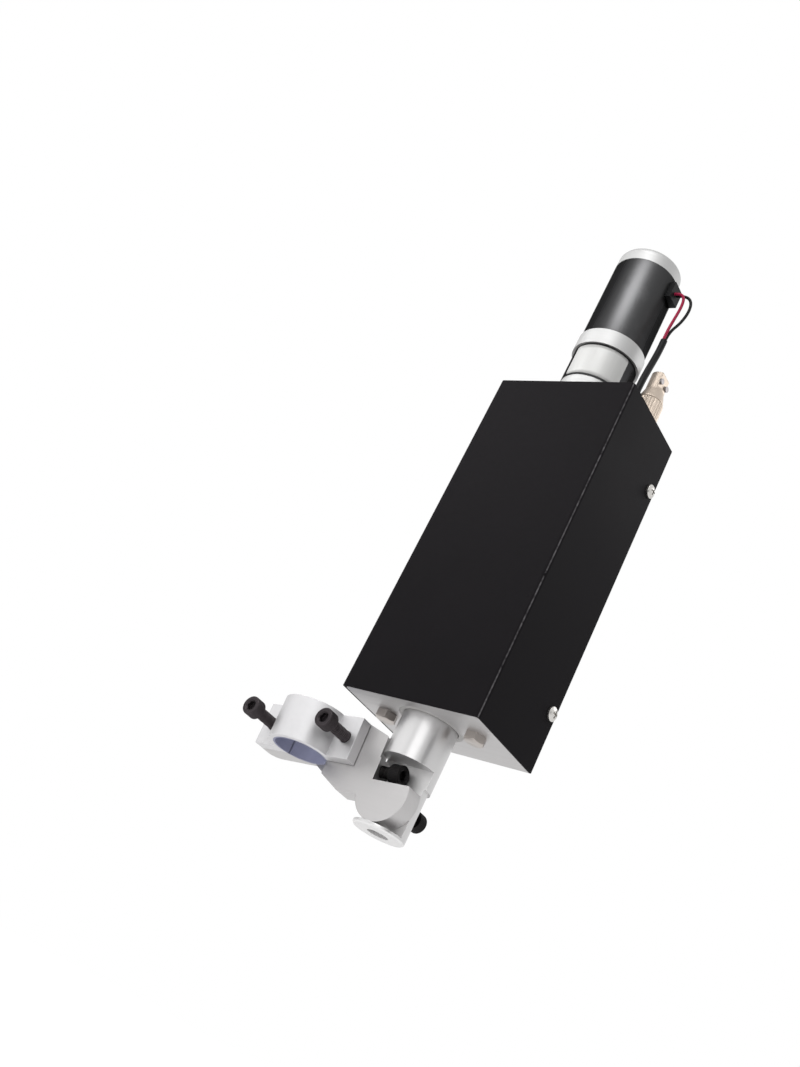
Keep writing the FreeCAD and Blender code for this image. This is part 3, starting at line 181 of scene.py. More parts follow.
class LifterColours(bpy.types.PropertyGroup):
    """Colours of the lifter's finishes."""
    cover: colour("Cover", "Powder coat of the bent cover", (0.0098, 0.0088, 0.0101))
    aluminium: colour("Aluminium", "Milled plates and torch arm", (0.51, 0.50, 0.50))
    # A paler copy of the milled aluminium, for the holder cap
    paler_cap_aluminium: colour("Blasted aluminium", "Holder cap, paler than the arm", (0.63, 0.625, 0.634))
    rod: colour("Rod", "Polished lift rod", (0.58, 0.575, 0.575))
    oxide: colour("Black oxide", "Side and pivot screws", (0.008, 0.0075, 0.008))
    # A lighter, warmer copy of the black oxide: painted light standing in for the stronger light on the holder's
    # clamp screws
    oxide_painted_lighter: colour("Browned oxide", "The holder's clamp screws", (0.036, 0.031, 0.0335))
    zinc: colour("Zinc", "Pan head screws and small steel", (0.60, 0.585, 0.56))
    bolts: colour("Plain steel", "Hexagon bolts of the end plates", (0.43, 0.395, 0.37))
    dull: colour("Dull steel", "Cable clamp screws", (0.33, 0.31, 0.31))
    ground: colour("Ground steel", "Guide rods and bearings", (0.62, 0.62, 0.63))
    brass: colour("Brass", "Screw nut and rod bush", (0.62, 0.44, 0.18))
    rubber: colour("Rubber", "Lead grommet", (0.012, 0.012, 0.012))
    seal: colour("Rod seal", "Pale ring that wipes the lift rod", (0.52, 0.51, 0.50))
    can: colour("Motor can", "Black anodised can and gearbox", (0.047, 0.047, 0.048))
    silver: colour("Motor silver", "Gearbox flange, ring and end cap", (0.455, 0.455, 0.453))
    nickel: colour("Connector", "Warm satin nickel", (0.53, 0.455, 0.385))
    plastic: colour("Black plastic", "Terminal block, sensors and sleeve", (0.006, 0.006, 0.0065))
    red: colour("Red lead", "Insulation of the red lead", (0.27, 0.012, 0.045))
    sheet: colour("Sheet steel", "Sensor bracket and flag", (0.55, 0.55, 0.56))
    liner: colour("Liner", "Slate violet holder liner", (0.30, 0.31, 0.43))
    foil: colour("Foil", "Blank label on the gearbox", (0.53, 0.53, 0.52))


class LifterSizes(bpy.types.PropertyGroup):
    """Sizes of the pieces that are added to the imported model."""
    screw_head: length("Screw head", "Height of a socket head", 8)
    screw_radius: length("Screw radius", "Outside radius of the thread", 4)
    screw_pitch: length("Thread pitch", "Rise of one thread turn", 1.25)
    screw_socket: length("Socket flats", "Width across the hexagon socket", 6)
    screw_ridges: count("Head ridges", "Knurl ridges round a socket head", 40)
    recess_length: length("Recess length", "Length of each arm of a pan head's cross", 5.4)
    recess_width: length("Recess width", "Width of each arm of a pan head's cross", 1.3)
    recess_depth: length("Recess depth", "Depth of a pan head's cross", 1.8)
    label_start: angle("Label start", "Left end of the label round the gearbox", -29)
    label_end: angle("Label end", "Right end of the label round the gearbox", 75)
    label_margin: length("Label margin", "Bare gearbox above and below the label", 1.4)
    label_corner: length("Label corner", "Radius of the label's corners", 2.2)
    label_thickness: length("Label thickness", "Thickness of the foil", 0.18)
    knurl_ridges: count("Ring ridges", "Ridges round the connector's ring", 30)
    knurl_depth: length("Ring knurl", "Depth of the connector ring's ridges", 0.5)
    knurl_bore: length("Ring bore", "Radius of the connector ring's bore", 8.5)
    red_length: length("Red lead length", "Length of the red lead", 57)
    black_length: length("Black lead length", "Length of the black lead", 62)
    sleeve_length: length("Sleeve length", "Length of the leads' sleeve", 62)
    lead_radius: length("Lead radius", "Radius of a motor lead", 1.1)
    sleeve_radius: length("Sleeve radius", "Radius of the leads' sleeve", 2.5)


# Nodes, for shaders and for geometry

class Value:
    """A node's socket that Python's operators build Math nodes on."""

    def __init__(self, wiring, socket):
        self.wiring = wiring
        self.socket = socket

    def __add__(self, other):
        return self.wiring.math("ADD", self, other)

    def __radd__(self, other):
        return self.wiring.math("ADD", other, self)

    def __sub__(self, other):
        return self.wiring.math("SUBTRACT", self, other)

    def __rsub__(self, other):
        return self.wiring.math("SUBTRACT", other, self)

    def __mul__(self, other):
        return self.wiring.math("MULTIPLY", self, other)

    def __rmul__(self, other):
        return self.wiring.math("MULTIPLY", other, self)

    def __truediv__(self, other):
        return self.wiring.math("DIVIDE", self, other)

    def __rtruediv__(self, other):
        return self.wiring.math("DIVIDE", other, self)


class Wiring:
    """Adds nodes to one node tree."""

    def __init__(self, tree):
        self.tree = tree

    def node(self, kind, settings=None, inputs=None, output=0):
        """Add a node: its settings first, then the values or links of its sockets."""
        made = self.tree.nodes.new(kind)
        for key, value in (settings or {}).items():
            setattr(made, key, value)
        for key, value in (inputs or {}).items():
            self.feed(made.inputs[key], value)
        return Value(self, made.outputs[output])

    def feed(self, socket, value):
        """Link a value, or a list of them, to a socket, or set a plain number or colour on it."""
        for item in value if isinstance(value, list) else [value]:
            if isinstance(item, Value):
                self.tree.links.new(item.socket, socket)
            else:
                socket.default_value = item

    def math(self, operation, *terms):
        return self.node("ShaderNodeMath", {"operation": operation}, dict(enumerate(terms)))

    def seen(self):
        """1 for rays that show a background: the camera's, in gloss and through glass."""
        camera, gloss, glass = [self.node("ShaderNodeLightPath", output=f"Is {ray} Ray")
                                for ray in ("Camera", "Glossy", "Transmission")]
        return self.math("MAXIMUM", self.math("MAXIMUM", camera, gloss), glass)


# Finishes

def rgba(tone, factor=1.0):
    return (*[min(1.0, part * factor) for part in tone], 1.0)


def sway(noise, amount):
    """A noise as a change to either side of nothing."""
    return (noise - 0.5) * amount


class Finish(Wiring):
    """One material: a Principled shader and the nodes that vary it."""

    def __init__(self, name, **fixed):
        self.material = bpy.data.materials.new(name)
        self.material.use_nodes = True
        super().__init__(self.material.node_tree)
        self.shader = self.tree.nodes["Principled BSDF"]
        self.drive(**fixed)

    def drive(self, **sockets):
        """Set or link the shader's sockets, named with underscores for spaces."""
        for socket, value in sockets.items():
            self.feed(self.shader.inputs[socket.replace("_", " ")], value)

    def place(self, stretch=EVEN):
        """Object coordinates, stretched along each axis."""
        spot = self.node("ShaderNodeTexCoord", output="Object")
        return self.node("ShaderNodeMapping", None, {"Vector": spot, "Scale": stretch})

    def noise(self, scale, detail=3.0, stretch=EVEN):
        return self.node("ShaderNodeTexNoise", None, {
            "Vector": self.place(stretch), "Scale": scale, "Detail": detail,
            "Roughness": NOISE_ROUGHNESS})

    def between(self, value, low, high):
        """Stretch a value between two limits to 0 to 1."""
        return self.node("ShaderNodeMapRange", {"clamp": True}, {
            "Value": value, "From Min": low, "From Max": high})

    def blend(self, share, first, second):
        return self.node("ShaderNodeMix", {"data_type": "RGBA"}, {
            0: share, 6: first, 7: second}, output=2)

    def shades(self, share, tone, dark, light):
        """A tone from its darker to its lighter shade."""
        return self.blend(share, rgba(tone, dark), rgba(tone, light))

    def vectors(self, operation, *terms, output="Vector"):
        return self.node("ShaderNodeVectorMath", {"operation": operation},
                         dict(enumerate(terms)), output)

    def facing(self, direction):
        """How squarely the true surface faces a direction, up to 1."""
        surface = self.node("ShaderNodeNewGeometry", output="True Normal")
        return self.vectors("DOT_PRODUCT", direction, surface, output="Value")

    def rounded(self, radius):
        """Normal that rounds the sharp edges."""
        return self.node("ShaderNodeBevel", {"samples": EDGE_SAMPLES}, {"Radius": radius})

    def wear(self, soft):
        """Mask of the edges, where the rounded normal leaves the flat one."""
        return self.between(1 - self.facing(soft), WEAR_START, WEAR_FULL)

    def bump(self, height, strength, distance, **normal):
        return self.node("ShaderNodeBump", None, {
            "Height": height, "Strength": strength, "Distance": distance, **normal})


def powder_coat(name, tone, bend):
    """Matt paint with a fine grain and a painted highlight, pale and glossier, along the cover's two front bends.
    """
    paint = Finish(name, Specular_IOR_Level=0.036)
    soft = paint.rounded(radius=0.0006)
    grain = paint.noise(scale=1500, detail=2)
    cloud = paint.noise(scale=22, detail=4)
    across, depth = [paint.node("ShaderNodeSeparateXYZ", None, {0: paint.place()}, axis)
                     for axis in ("X", "Y")]
    side = paint.math("ABSOLUTE", across)
    # Painted highlight: a thin pale, glossier line along each front bend, standing in for the light that the
    # bend's rounding catches
    bend_highlight = paint.between(side, bend.x - BEND_HIGHLIGHT_START, bend.x - BEND_HIGHLIGHT_FULL)
    bend_highlight = bend_highlight * paint.between(-1 * depth, bend.y - BEND_HIGHLIGHT_START, bend.y - BEND_HIGHLIGHT_FULL)
    chips_and_highlight_gaps = paint.between(paint.noise(scale=240), low=0.3, high=0.62)
    base = paint.shades(cloud, tone, dark=0.8, light=1.25)
    base = paint.blend(paint.wear(soft) * chips_and_highlight_gaps * 0.5, base, rgba(tone, factor=2.5))
    # The painted bend highlight in its pale tone, broken up by the same noise as the worn chips
    base = paint.blend(bend_highlight * chips_and_highlight_gaps, base, rgba(BEND_HIGHLIGHT_TONE))
    paint.drive(Base_Color=base, Roughness=0.5 + cloud * 0.12 + grain * 0.08 - bend_highlight * 0.2,
                Normal=paint.bump(grain, strength=0.12, distance=0.0004, Normal=soft))
    return paint.material


def milled_metal(name, tone, rough, stretch=EVEN, depth=0.1, radius=0.0005):
    """Bare metal with fine tool marks along one direction, smears and brighter edges."""
    metal = Finish(name, Metallic=1.0)
    soft = metal.rounded(radius=radius)
    marks = metal.noise(scale=320, stretch=stretch)
    smear = metal.noise(scale=38, detail=4)
    base = metal.shades(smear, tone, dark=0.9, light=1.04)
    base = metal.blend(metal.wear(soft) * 0.6, base, rgba(tone, factor=1.15))
    metal.drive(Base_Color=base, Roughness=rough + sway(marks, 0.16) + sway(smear, 0.14),
                Normal=metal.bump(marks, strength=depth, distance=0.0003, Normal=soft))
    return metal.material


def turned_metal(name, tone, rough, pitch, depth=0.05, ring=0.12, axis=None, milled=0.5):
    """Lathe-turned metal: fine rings along Z and faint handling marks.

    Flats of a piece that is turned about a given axis are milled, duller and paler.
    """
    metal = Finish(name, Metallic=1.0)
    rings = metal.noise(scale=1.0 / pitch, detail=2, stretch=RINGS_ROUND_Z)
    smear = metal.noise(scale=45, detail=4)
    base = metal.shades(smear, tone, dark=0.94, light=1.03)
    roughness = rough + sway(rings, ring) + sway(smear, 0.1)
    if axis:
        outward = metal.vectors("SUBTRACT", metal.place(ROUND_Z), axis)
        outward = metal.vectors("NORMALIZE", outward)
        flat = 1 - metal.between(metal.facing(outward), ROUND_START, ROUND_FULL)
        roughness = roughness + flat * (milled - rough)
        base = metal.blend(flat, base, rgba(tone, factor=1.25))
    metal.drive(Base_Color=base, Roughness=roughness,
                Normal=metal.bump(rings, strength=depth, distance=0.0002,
                                  Normal=metal.rounded(radius=0.0004)))
    return metal.material


def blackened_steel(name, tone, bare):
    """Black oxide: dark, slightly oily metal that wears to a barer tone on its edges."""
    steel = Finish(name, Metallic=0.55, Specular_IOR_Level=0.2, Specular_Tint=(0.4, 0.4, 0.4, 1))
    soft = steel.rounded(radius=0.0003)
    patch = steel.noise(scale=180, detail=4)
    base = steel.shades(patch, tone, dark=0.7, light=1.7)
    base = steel.blend(steel.wear(soft) * 0.5, base, rgba(bare))
    steel.drive(Base_Color=base, Roughness=0.34 + patch * 0.2,
                Normal=steel.bump(patch, strength=0.05, distance=0.0002, Normal=soft))
    return steel.material


def anodised(name, tone):
    """Black anodised metal with a little dust, drawn so that a highlight spreads round it."""
    metal = Finish(name, Metallic=0.95, Anisotropic=0.9, Specular_Tint=(0.05, 0.05, 0.05, 1))
    peel = metal.noise(scale=420, detail=2)
    dust = metal.between(metal.noise(scale=60, detail=5), low=0.55, high=0.85)
    metal.drive(Base_Color=metal.shades(dust, tone, dark=1, light=1.3),
                Roughness=0.28 + dust * 0.06,
                Normal=metal.bump(peel, strength=0.02, distance=0.0002,
                                  Normal=metal.rounded(radius=0.0005)))
    return metal.material


def moulded(name, tone, rough=0.45, grain=900):
    """Moulded plastic or rubber with a fine grain and a dull bloom."""
    resin = Finish(name, Specular_IOR_Level=0.12)
    soft = resin.rounded(radius=0.0004)
    skin = resin.noise(scale=grain)
    bloom = resin.noise(scale=70, detail=4)
    base = resin.shades(bloom, tone, dark=0.8, light=1.3)
    base = resin.blend(resin.wear(soft) * 0.25, base, rgba(tone, factor=2.2))
    resin.drive(Base_Color=base, Roughness=rough + sway(bloom, 0.18),
                Normal=resin.bump(skin, strength=0.1, distance=0.0002, Normal=soft))
    return resin.material


def foil(name, tone):
    """Thin metal foil with slight wrinkles and rubbed streaks."""
    sheet = Finish(name, Metallic=0.3)
    wrinkle = sheet.noise(scale=120, detail=2)
    bend_highlight = sheet.noise(scale=300, stretch=STREAKS_ALONG_Z)
    sheet.drive(Base_Color=sheet.shades(bend_highlight, tone, dark=0.88, light=1.06),
                Roughness=0.5 + sway(bend_highlight, 0.2),
                Normal=sheet.bump(wrinkle, strength=0.12, distance=0.0004))
    return sheet.material


def paper(name, tone, glow):
    """Plain paper; with a glow it is white to the camera and in gloss, yet keeps its shadow."""
    sheet = Finish(name, Roughness=0.9, Specular_IOR_Level=0.0,
                   Emission_Strength=1.0 if glow else 0.0)
    fibre = sheet.noise(scale=60)
    sheet.drive(Base_Color=sheet.shades(fibre, (tone,) * 3, dark=0.97, light=1.03))
    if glow:
        sheet.drive(Emission_Color=sheet.blend(sheet.seen(), BLACK, rgba((glow,) * 3)))
    return sheet.material


MATERIALS = {}


def finishes(colours):
    """Make each material once."""
    if not MATERIALS:
        low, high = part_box("front_cover")
        bend = Vector((high.x, -low.y))
        rod_axis = (PIVOT.x, PIVOT.y, 0)
        fine = {"depth": 0.04, "radius": 0.0003}
        MATERIALS.update({
            "black_paint": powder_coat("powder_coat", colours.cover, bend),
            "machined_aluminium": milled_metal(
                "milled_aluminium", colours.aluminium, rough=0.48, stretch=ALONG_X),
            # A paler copy of the milled aluminium, for the holder cap
            "blasted_aluminium": milled_metal(
                "blasted_aluminium", colours.paler_cap_aluminium, rough=0.52, depth=0.08),
            "polished_aluminium": turned_metal(
                "polished_rod", colours.rod, rough=0.34, pitch=0.0012, depth=0.008, ring=0.04,
                axis=rod_axis),
            "black_oxide": blackened_steel("black_oxide", colours.oxide, BARE_OXIDE),
            # The black oxide painted lighter: painted light on the holder's clamp screws
            "browned_oxide": blackened_steel("browned_oxide", colours.oxide_painted_lighter, BARE_OXIDE_PAINTED_LIGHTER),
            "bright_steel": milled_metal("zinc_plate", colours.zinc, rough=0.3, **fine),
            "plain_steel": milled_metal("plain_steel", colours.bolts, rough=0.34, **fine),
            "dull_steel": milled_metal("dull_steel", colours.dull, rough=0.5, **fine),
            "sheet_steel": milled_metal(
                "sheet_steel", colours.sheet, rough=0.34, stretch=ALONG_Z, depth=0.05),
            "ground_steel": turned_metal(
                "ground_steel", colours.ground, rough=0.16, pitch=0.0008),
            "brass": turned_metal("brass", colours.brass, rough=0.3, pitch=0.0009),
            "motor_silver": turned_metal(
                "turned_silver", colours.silver, rough=0.58, pitch=0.0009, depth=0.08),
            "connector_nickel": turned_metal(
                "warm_nickel", colours.nickel, rough=0.5, pitch=0.0011, depth=0.08),
            "motor_black": anodised("black_anodised", colours.can),
            "black_rubber": moulded("rubber", colours.rubber, rough=0.62, grain=700),
            "pale_seal": moulded("rod_seal", colours.seal, rough=0.5),
            "black_plastic": moulded("black_plastic", colours.plastic),
            "red_plastic": moulded("red_lead", colours.red, rough=0.4),
            "violet_liner": moulded("liner", colours.liner, rough=0.5),
            "foil": foil("foil_label", colours.foil),
        })
    return MATERIALS


def dress(piece, material):
    piece.data.materials.clear()
    piece.data.materials.append(material)


# Meshes

def put_in_scene(name, data):
    made = bpy.data.objects.new(name, data)
    bpy.context.scene.collection.objects.link(made)
    return made


def smooth(mesh):
    for face in mesh.polygons:
        face.use_smooth = True


def solid_boxes(node, axes=FRAME_AXES):
    """Lowest and highest corner of each separate solid of a node, in the given axes."""
    mesh = bmesh.new()
    mesh.from_mesh(NODES[node].data)
    mesh.transform(axes.inverted())
    bmesh.ops.remove_doubles(mesh, verts=mesh.verts, dist=WELD)
    left = set(mesh.verts)
    boxes = []
    while left:
        found, waiting = set(), [left.pop()]
        while waiting:
            vert = waiting.pop()
            found.add(vert)
            near = {edge.other_vert(vert) for edge in vert.link_edges} & left
            left -= near
            waiting.extend(near)
        low, high = [Vector([limit(vert.co[i] for vert in found) for i in range(3)])
                     for limit in (min, max)]
        boxes.append((low, high))
    mesh.free()
    return sorted(boxes, key=lambda box: tuple(round(part, 4) for part in box[0]))


class Shape(Wiring):
    """A Geometry Nodes tree with named inputs, built node by node."""

    def __init__(self, name, inputs):
        super().__init__(bpy.data.node_groups.new(name, "GeometryNodeTree"))
        self.add_socket("Places", "NodeSocketGeometry")
        for label, value in inputs.items():
            kind = "NodeSocketInt" if isinstance(value, int) else "NodeSocketFloat"
            self.add_socket(label, kind).default_value = value
        self.add_socket("Material", "NodeSocketMaterial")
        self.add_socket("Pieces", "NodeSocketGeometry", "OUTPUT")
        self.given = self.tree.nodes.new("NodeGroupInput")

    def add_socket(self, label, kind, side="INPUT"):
        return self.tree.interface.new_socket(label, in_out=side, socket_type=kind)

    def take(self, label):
        """A named input's value."""
        return Value(self, self.given.outputs[label])

    def vector(self, x=0.0, y=0.0, z=0.0):
        return self.node("ShaderNodeCombineXYZ", None, {0: x, 1: y, 2: z})

    def move(self, shape, z=0.0, turn=(0, 0, 0)):
        return self.node("GeometryNodeTransform", None, {
            "Geometry": shape, "Translation": self.vector(z=z), "Rotation": turn})

    def drum(self, radius, height, base=0.0, sides=ROUND_SIDES):
        """Closed cylinder that stands on a base height."""
        made = self.node("GeometryNodeMeshCylinder", None, {
            "Vertices": sides, "Radius": radius, "Depth": height})
        return self.move(made, z=base + height * 0.5)

    def cone(self, foot_radius, top_radius, base, height):
        """Cone that stands on a base height."""
        made = self.node("GeometryNodeMeshCone", None, {
            "Vertices": ROUND_SIDES, "Radius Top": top_radius, "Radius Bottom": foot_radius,
            "Depth": height})
        return self.move(made, z=base)

    def taper(self, top_radius, top, depth, slope=1.0):
        """Cone that ends at a top height and widens downwards."""
        return self.cone(top_radius + depth * slope, top_radius, top - depth, depth)

    def funnel(self, neck, top, depth):
        """Cutter that opens upwards from a neck by as much as it is deep, and past the top."""
        both = depth * 2
        return self.cone(neck, neck + both, top - depth, both)

    def sweep(self, path, outline):
        """Closed body of an outline along a path."""
        return self.node("GeometryNodeCurveToMesh", None, {
            "Curve": path, "Profile Curve": outline, "Fill Caps": True})

    def star(self, radius, groove, ridges, height):
        """Knurled drum from a star outline."""
        outline = self.node("GeometryNodeCurveStar", None, {
            "Points": ridges, "Outer Radius": radius, "Inner Radius": radius - groove})
        rise = self.node("GeometryNodeCurvePrimitiveLine", None, {"End": self.vector(z=height)})
        return self.sweep(rise, outline)

    def cut(self, body, *cutters):
        return self.node("GeometryNodeMeshBoolean", {
            "operation": "DIFFERENCE", "solver": "EXACT"}, {0: body, 1: list(cutters)})

    def common(self, *bodies):
        return self.node("GeometryNodeMeshBoolean", {
            "operation": "INTERSECT", "solver": "EXACT"}, {1: list(bodies)})

    def join(self, *bodies):
        return self.node("GeometryNodeJoinGeometry", None, {0: list(bodies)})

    def spread(self, body):
        """Put the body at each place, turned to face along the place's own direction."""
        facing = self.node("GeometryNodeInputNamedAttribute", {"data_type": "FLOAT_VECTOR"},
                           {"Name": "facing"})
        turn = self.node("FunctionNodeAlignRotationToVector", {"axis": "Z"}, {"Vector": facing})
        copies = self.node("GeometryNodeInstanceOnPoints", None, {
            "Points": self.take("Places"), "Instance": body, "Rotation": turn})
        solid = self.node("GeometryNodeRealizeInstances", None, {0: copies})
        dressed = self.node("GeometryNodeSetMaterial", None, {
            "Geometry": solid, "Material": self.take("Material")})
        self.feed(self.tree.nodes.new("NodeGroupOutput").inputs[0], dressed)
        return self.tree


def grown(name, tree, places, material, **inputs):
    """Run a tree on places with directions and keep the result as a plain mesh."""
    points = bpy.data.meshes.new(name + "_places")
    points.from_pydata([spot for spot, facing in places], [], [])
    facings = points.attributes.new("facing", "FLOAT_VECTOR", "POINT")
    for item, (spot, facing) in zip(facings.data, places):
        item.vector = facing
    holder = put_in_scene(name + "_holder", points)
    modifier = holder.modifiers.new("shape", "NODES")
    modifier.node_group = tree
    wanted = {key.replace("_", " "): value for key, value in inputs.items()}
    wanted["Material"] = material
    for item in tree.interface.items_tree:
        if item.in_out == "INPUT" and item.name in wanted:
            modifier[item.identifier] = wanted[item.name]
    graph = bpy.context.evaluated_depsgraph_get()
    mesh = bpy.data.meshes.new_from_object(holder.evaluated_get(graph))
    bpy.data.objects.remove(holder)
    if not mesh.polygons:
        raise RuntimeError(f"{name} came out empty")
    mesh.name = name
    welded = bmesh.new()
    welded.from_mesh(mesh)
    bmesh.ops.remove_doubles(welded, verts=welded.verts, dist=WELD)
    bmesh.ops.dissolve_degenerate(welded, edges=welded.edges, dist=WELD)
    welded.to_mesh(mesh)
    welded.free()
    made = put_in_scene(name, mesh)
    smooth(mesh)
    mesh.set_sharp_from_angle(angle=SMOOTH_ANGLE)
    return made


def socket_screw_tree():
    """Socket head screw that faces +Z, with its head's seat at 0."""
    shape = Shape("Socket head screw", {
        "Head Radius": 0.0065, "Head Height": 0.008, "Groove": 0.0002, "Ridges": 40,
        "Chamfer": 0.0006, "Socket Flats": 0.006, "Socket Depth": 0.004, "Countersink": 0.0011,
        "Shank Radius": 0.004, "Shank Length": 0.03, "Pitch": 0.00125})
    take = shape.take
    radius, top, flats = take("Head Radius"), take("Head Height"), take("Socket Flats")
    head = shape.star(radius, take("Groove"), take("Ridges"), top)
    head = shape.common(head, shape.taper(radius - take("Chamfer"), top, HEAD_CUTTER))
    floor = top - take("Socket Depth")
    socket = shape.drum(flats / FLATS_PER_CORNER, HEAD_CUTTER, floor, HEX_SIDES)
    head = shape.cut(head, socket, shape.funnel(flats * 0.5, top, take("Countersink")))
    reach, pitch = take("Shank Length"), take("Pitch")
    deep = pitch * 0.5
    core = take("Shank Radius") - deep
    tip = reach * -1.0
    shank = shape.drum(core, reach, tip, SHANK_SIDES)
    helix = shape.node("GeometryNodeCurveSpiral", None, {
        "Resolution": THREAD_STEPS, "Rotations": reach / pitch, "Start Radius": core,
        "End Radius": core, "Height": reach})
    ridge = shape.node("GeometryNodeCurvePrimitiveCircle", None, {
        "Resolution": THREAD_SIDES, "Radius": deep})
    thread = shape.move(shape.sweep(helix, ridge), z=tip)
    return shape.spread(shape.join(head, shank, thread))


def pan_screw_tree():
    """Domed head with a cross recess that faces +Z, seated at 0."""
    shape = Shape("Cross recess pan head", {
        "Head Radius": 0.005, "Head Height": 0.0034, "Edge Height": 0.0013,
        "Recess Length": 0.0054, "Recess Width": 0.0013, "Recess Depth": 0.0018})
    take = shape.take
    radius, top = take("Head Radius"), take("Head Height")
    rise = top - take("Edge Height")
    ball_radius = (radius * radius + rise * rise) / (rise * 2)
    ball = shape.node("GeometryNodeMeshUVSphere", None, {
        "Segments": DOME_SEGMENTS, "Rings": DOME_RINGS, "Radius": ball_radius})
    head = shape.common(shape.move(ball, z=top - ball_radius), shape.drum(radius, top))
    size = shape.vector(take("Recess Length"), take("Recess Width"), take("Recess Depth") * 2)
    slot = shape.move(shape.node("GeometryNodeMeshCube", None, {"Size": size}), z=top)
    return shape.spread(shape.cut(head, slot, shape.move(slot, turn=(0, 0, math.pi / 2))))


def hex_head_tree():
    """Hexagon head with its corners turned off that faces +Z, seated at 0."""
    shape = Shape("Hexagon head", {"Flats": 0.013, "Head Height": 0.0053})
    flats, top = shape.take("Flats"), shape.take("Head Height")
    prism = shape.drum(flats / FLATS_PER_CORNER, top, sides=HEX_SIDES)
    return shape.spread(shape.common(
        prism, shape.taper(flats * CROWN_PER_FLATS, top, HEAD_CUTTER, CROWN_SLOPE)))


def knurled_ring_tree():
    """Knurled ring with turned-off ends that stands on 0."""
    shape = Shape("Knurled ring", {
        "Radius": 0.009, "Height": 0.013, "Groove": 0.0005, "Ridges": 30, "Bore": 0.007,
        "Chamfer": 0.0012})
    take = shape.take
    radius, top = take("Radius"), take("Height")
    crown = radius - take("Chamfer")
    head = shape.taper(crown, top, RING_CUTTER)
    foot = shape.move(shape.taper(crown, 0.0, RING_CUTTER), turn=(math.pi, 0, 0))
    ring = shape.common(shape.star(radius, take("Groove"), take("Ridges"), top), head, foot)
    return shape.spread(shape.cut(ring, shape.drum(take("Bore"), BORE_CUTTER, BORE_START)))


def keep(piece, body, slot, *nodes):
    """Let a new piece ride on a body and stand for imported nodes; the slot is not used."""
    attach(piece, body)
    if nodes:
        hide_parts(*nodes)


# Operators

class Maker:
    """Shared by the operators: the scene's settings and the finishes."""
    bl_options = {"REGISTER", "UNDO"}

    @property
    def sizes(self):
        return bpy.context.scene.lifter_sizes

    def finish(self, name):
        return finishes(bpy.context.scene.lifter_colours)[name]

    def finish_nodes(self, *slots):
        """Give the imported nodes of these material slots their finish."""
        for part in frame["record"]["subparts"]:
            if part["material_slot"] in slots:
                dress(NODES[part["node"]], self.finish(part["material_slot"]))


class LIFTER_OT_stage(Maker, bpy.types.Operator):
    """Set up the camera, the pale floor, the white backdrop and the soft studio lights"""
    bl_idname = "lifter.stage"
    bl_label = "Studio"

    def camera(self, scene):
        data = bpy.data.cameras.new("camera")
        data.lens = CAMERA_LENS
        data.sensor_width = CAMERA_SENSOR
        data.clip_start = CAMERA_NEAR
        made = put_in_scene("camera", data)
        axes = Matrix(CAMERA_AXES).transposed().to_4x4()
        made.matrix_world = Matrix.Translation(CAMERA_PLACE) @ axes
        scene.camera = made

    def panel(self, name, corners, tone, glow=0.0):
        """Flat paper of four corners."""
        mesh = bpy.data.meshes.new(name)
        mesh.from_pydata(corners, [], [(0, 1, 2, 3)])
        made = put_in_scene(name, mesh)
        dress(made, paper(name, tone, glow))
        return made

    def floor(self):
        corners = [(FLOOR_REACH * x, FLOOR_REACH * y, FLOOR_HEIGHT)
                   for x, y in ((-1, -1), (1, -1), (1, 1), (-1, 1))]
        self.panel("floor", corners, FLOOR_TONE, FLOOR_GLOW)

    def grey_card(self):
        """Upright card at a bearing from the front, seen only in reflections."""
        out = Vector((math.sin(CARD_BEARING), -math.cos(CARD_BEARING), 0))
        side = Vector((-out.y, out.x, 0)) * CARD_WIDTH / 2
        corners = [out * CARD_DISTANCE + side * turn + Vector((0, 0, height)) for turn, height in
                   ((-1, CARD_FOOT), (1, CARD_FOOT), (1, CARD_TOP), (-1, CARD_TOP))]
        self.panel("grey_card", corners, CARD_TONE).visible_camera = False

    def softbox(self, name, place, target, width, height, power):
        data = bpy.data.lights.new(name, "AREA")
        data.shape = "RECTANGLE"
        data.size = width
        data.size_y = height
        data.energy = power
        aim = (Vector(target) - Vector(place)).to_track_quat("-Z", "Y")
        made = put_in_scene(name, data)
        made.matrix_world = Matrix.Translation(place) @ aim.to_matrix().to_4x4()

    def world(self, scene):
        """Even white light, brighter where it shows as the background."""
        scene.world = bpy.data.worlds.new("studio")
        scene.world.use_nodes = True
        wiring = Wiring(scene.world.node_tree)
        background = wiring.tree.nodes["Background"].inputs
        strength = wiring.node("ShaderNodeMapRange", None, {
            "Value": wiring.seen(), "To Min": WORLD_LIGHT, "To Max": WORLD_SEEN})
        wiring.feed(background["Color"], WHITE)
        wiring.feed(background["Strength"], strength)

    def execute(self, context):
        scene = bpy.context.scene
        scene.view_settings.view_transform = "Standard"
        self.camera(scene)
        self.floor()
        self.grey_card()
        for name, lamp in SOFTBOXES.items():
            self.softbox(name, *lamp)
        self.world(scene)
        return {"FINISHED"}


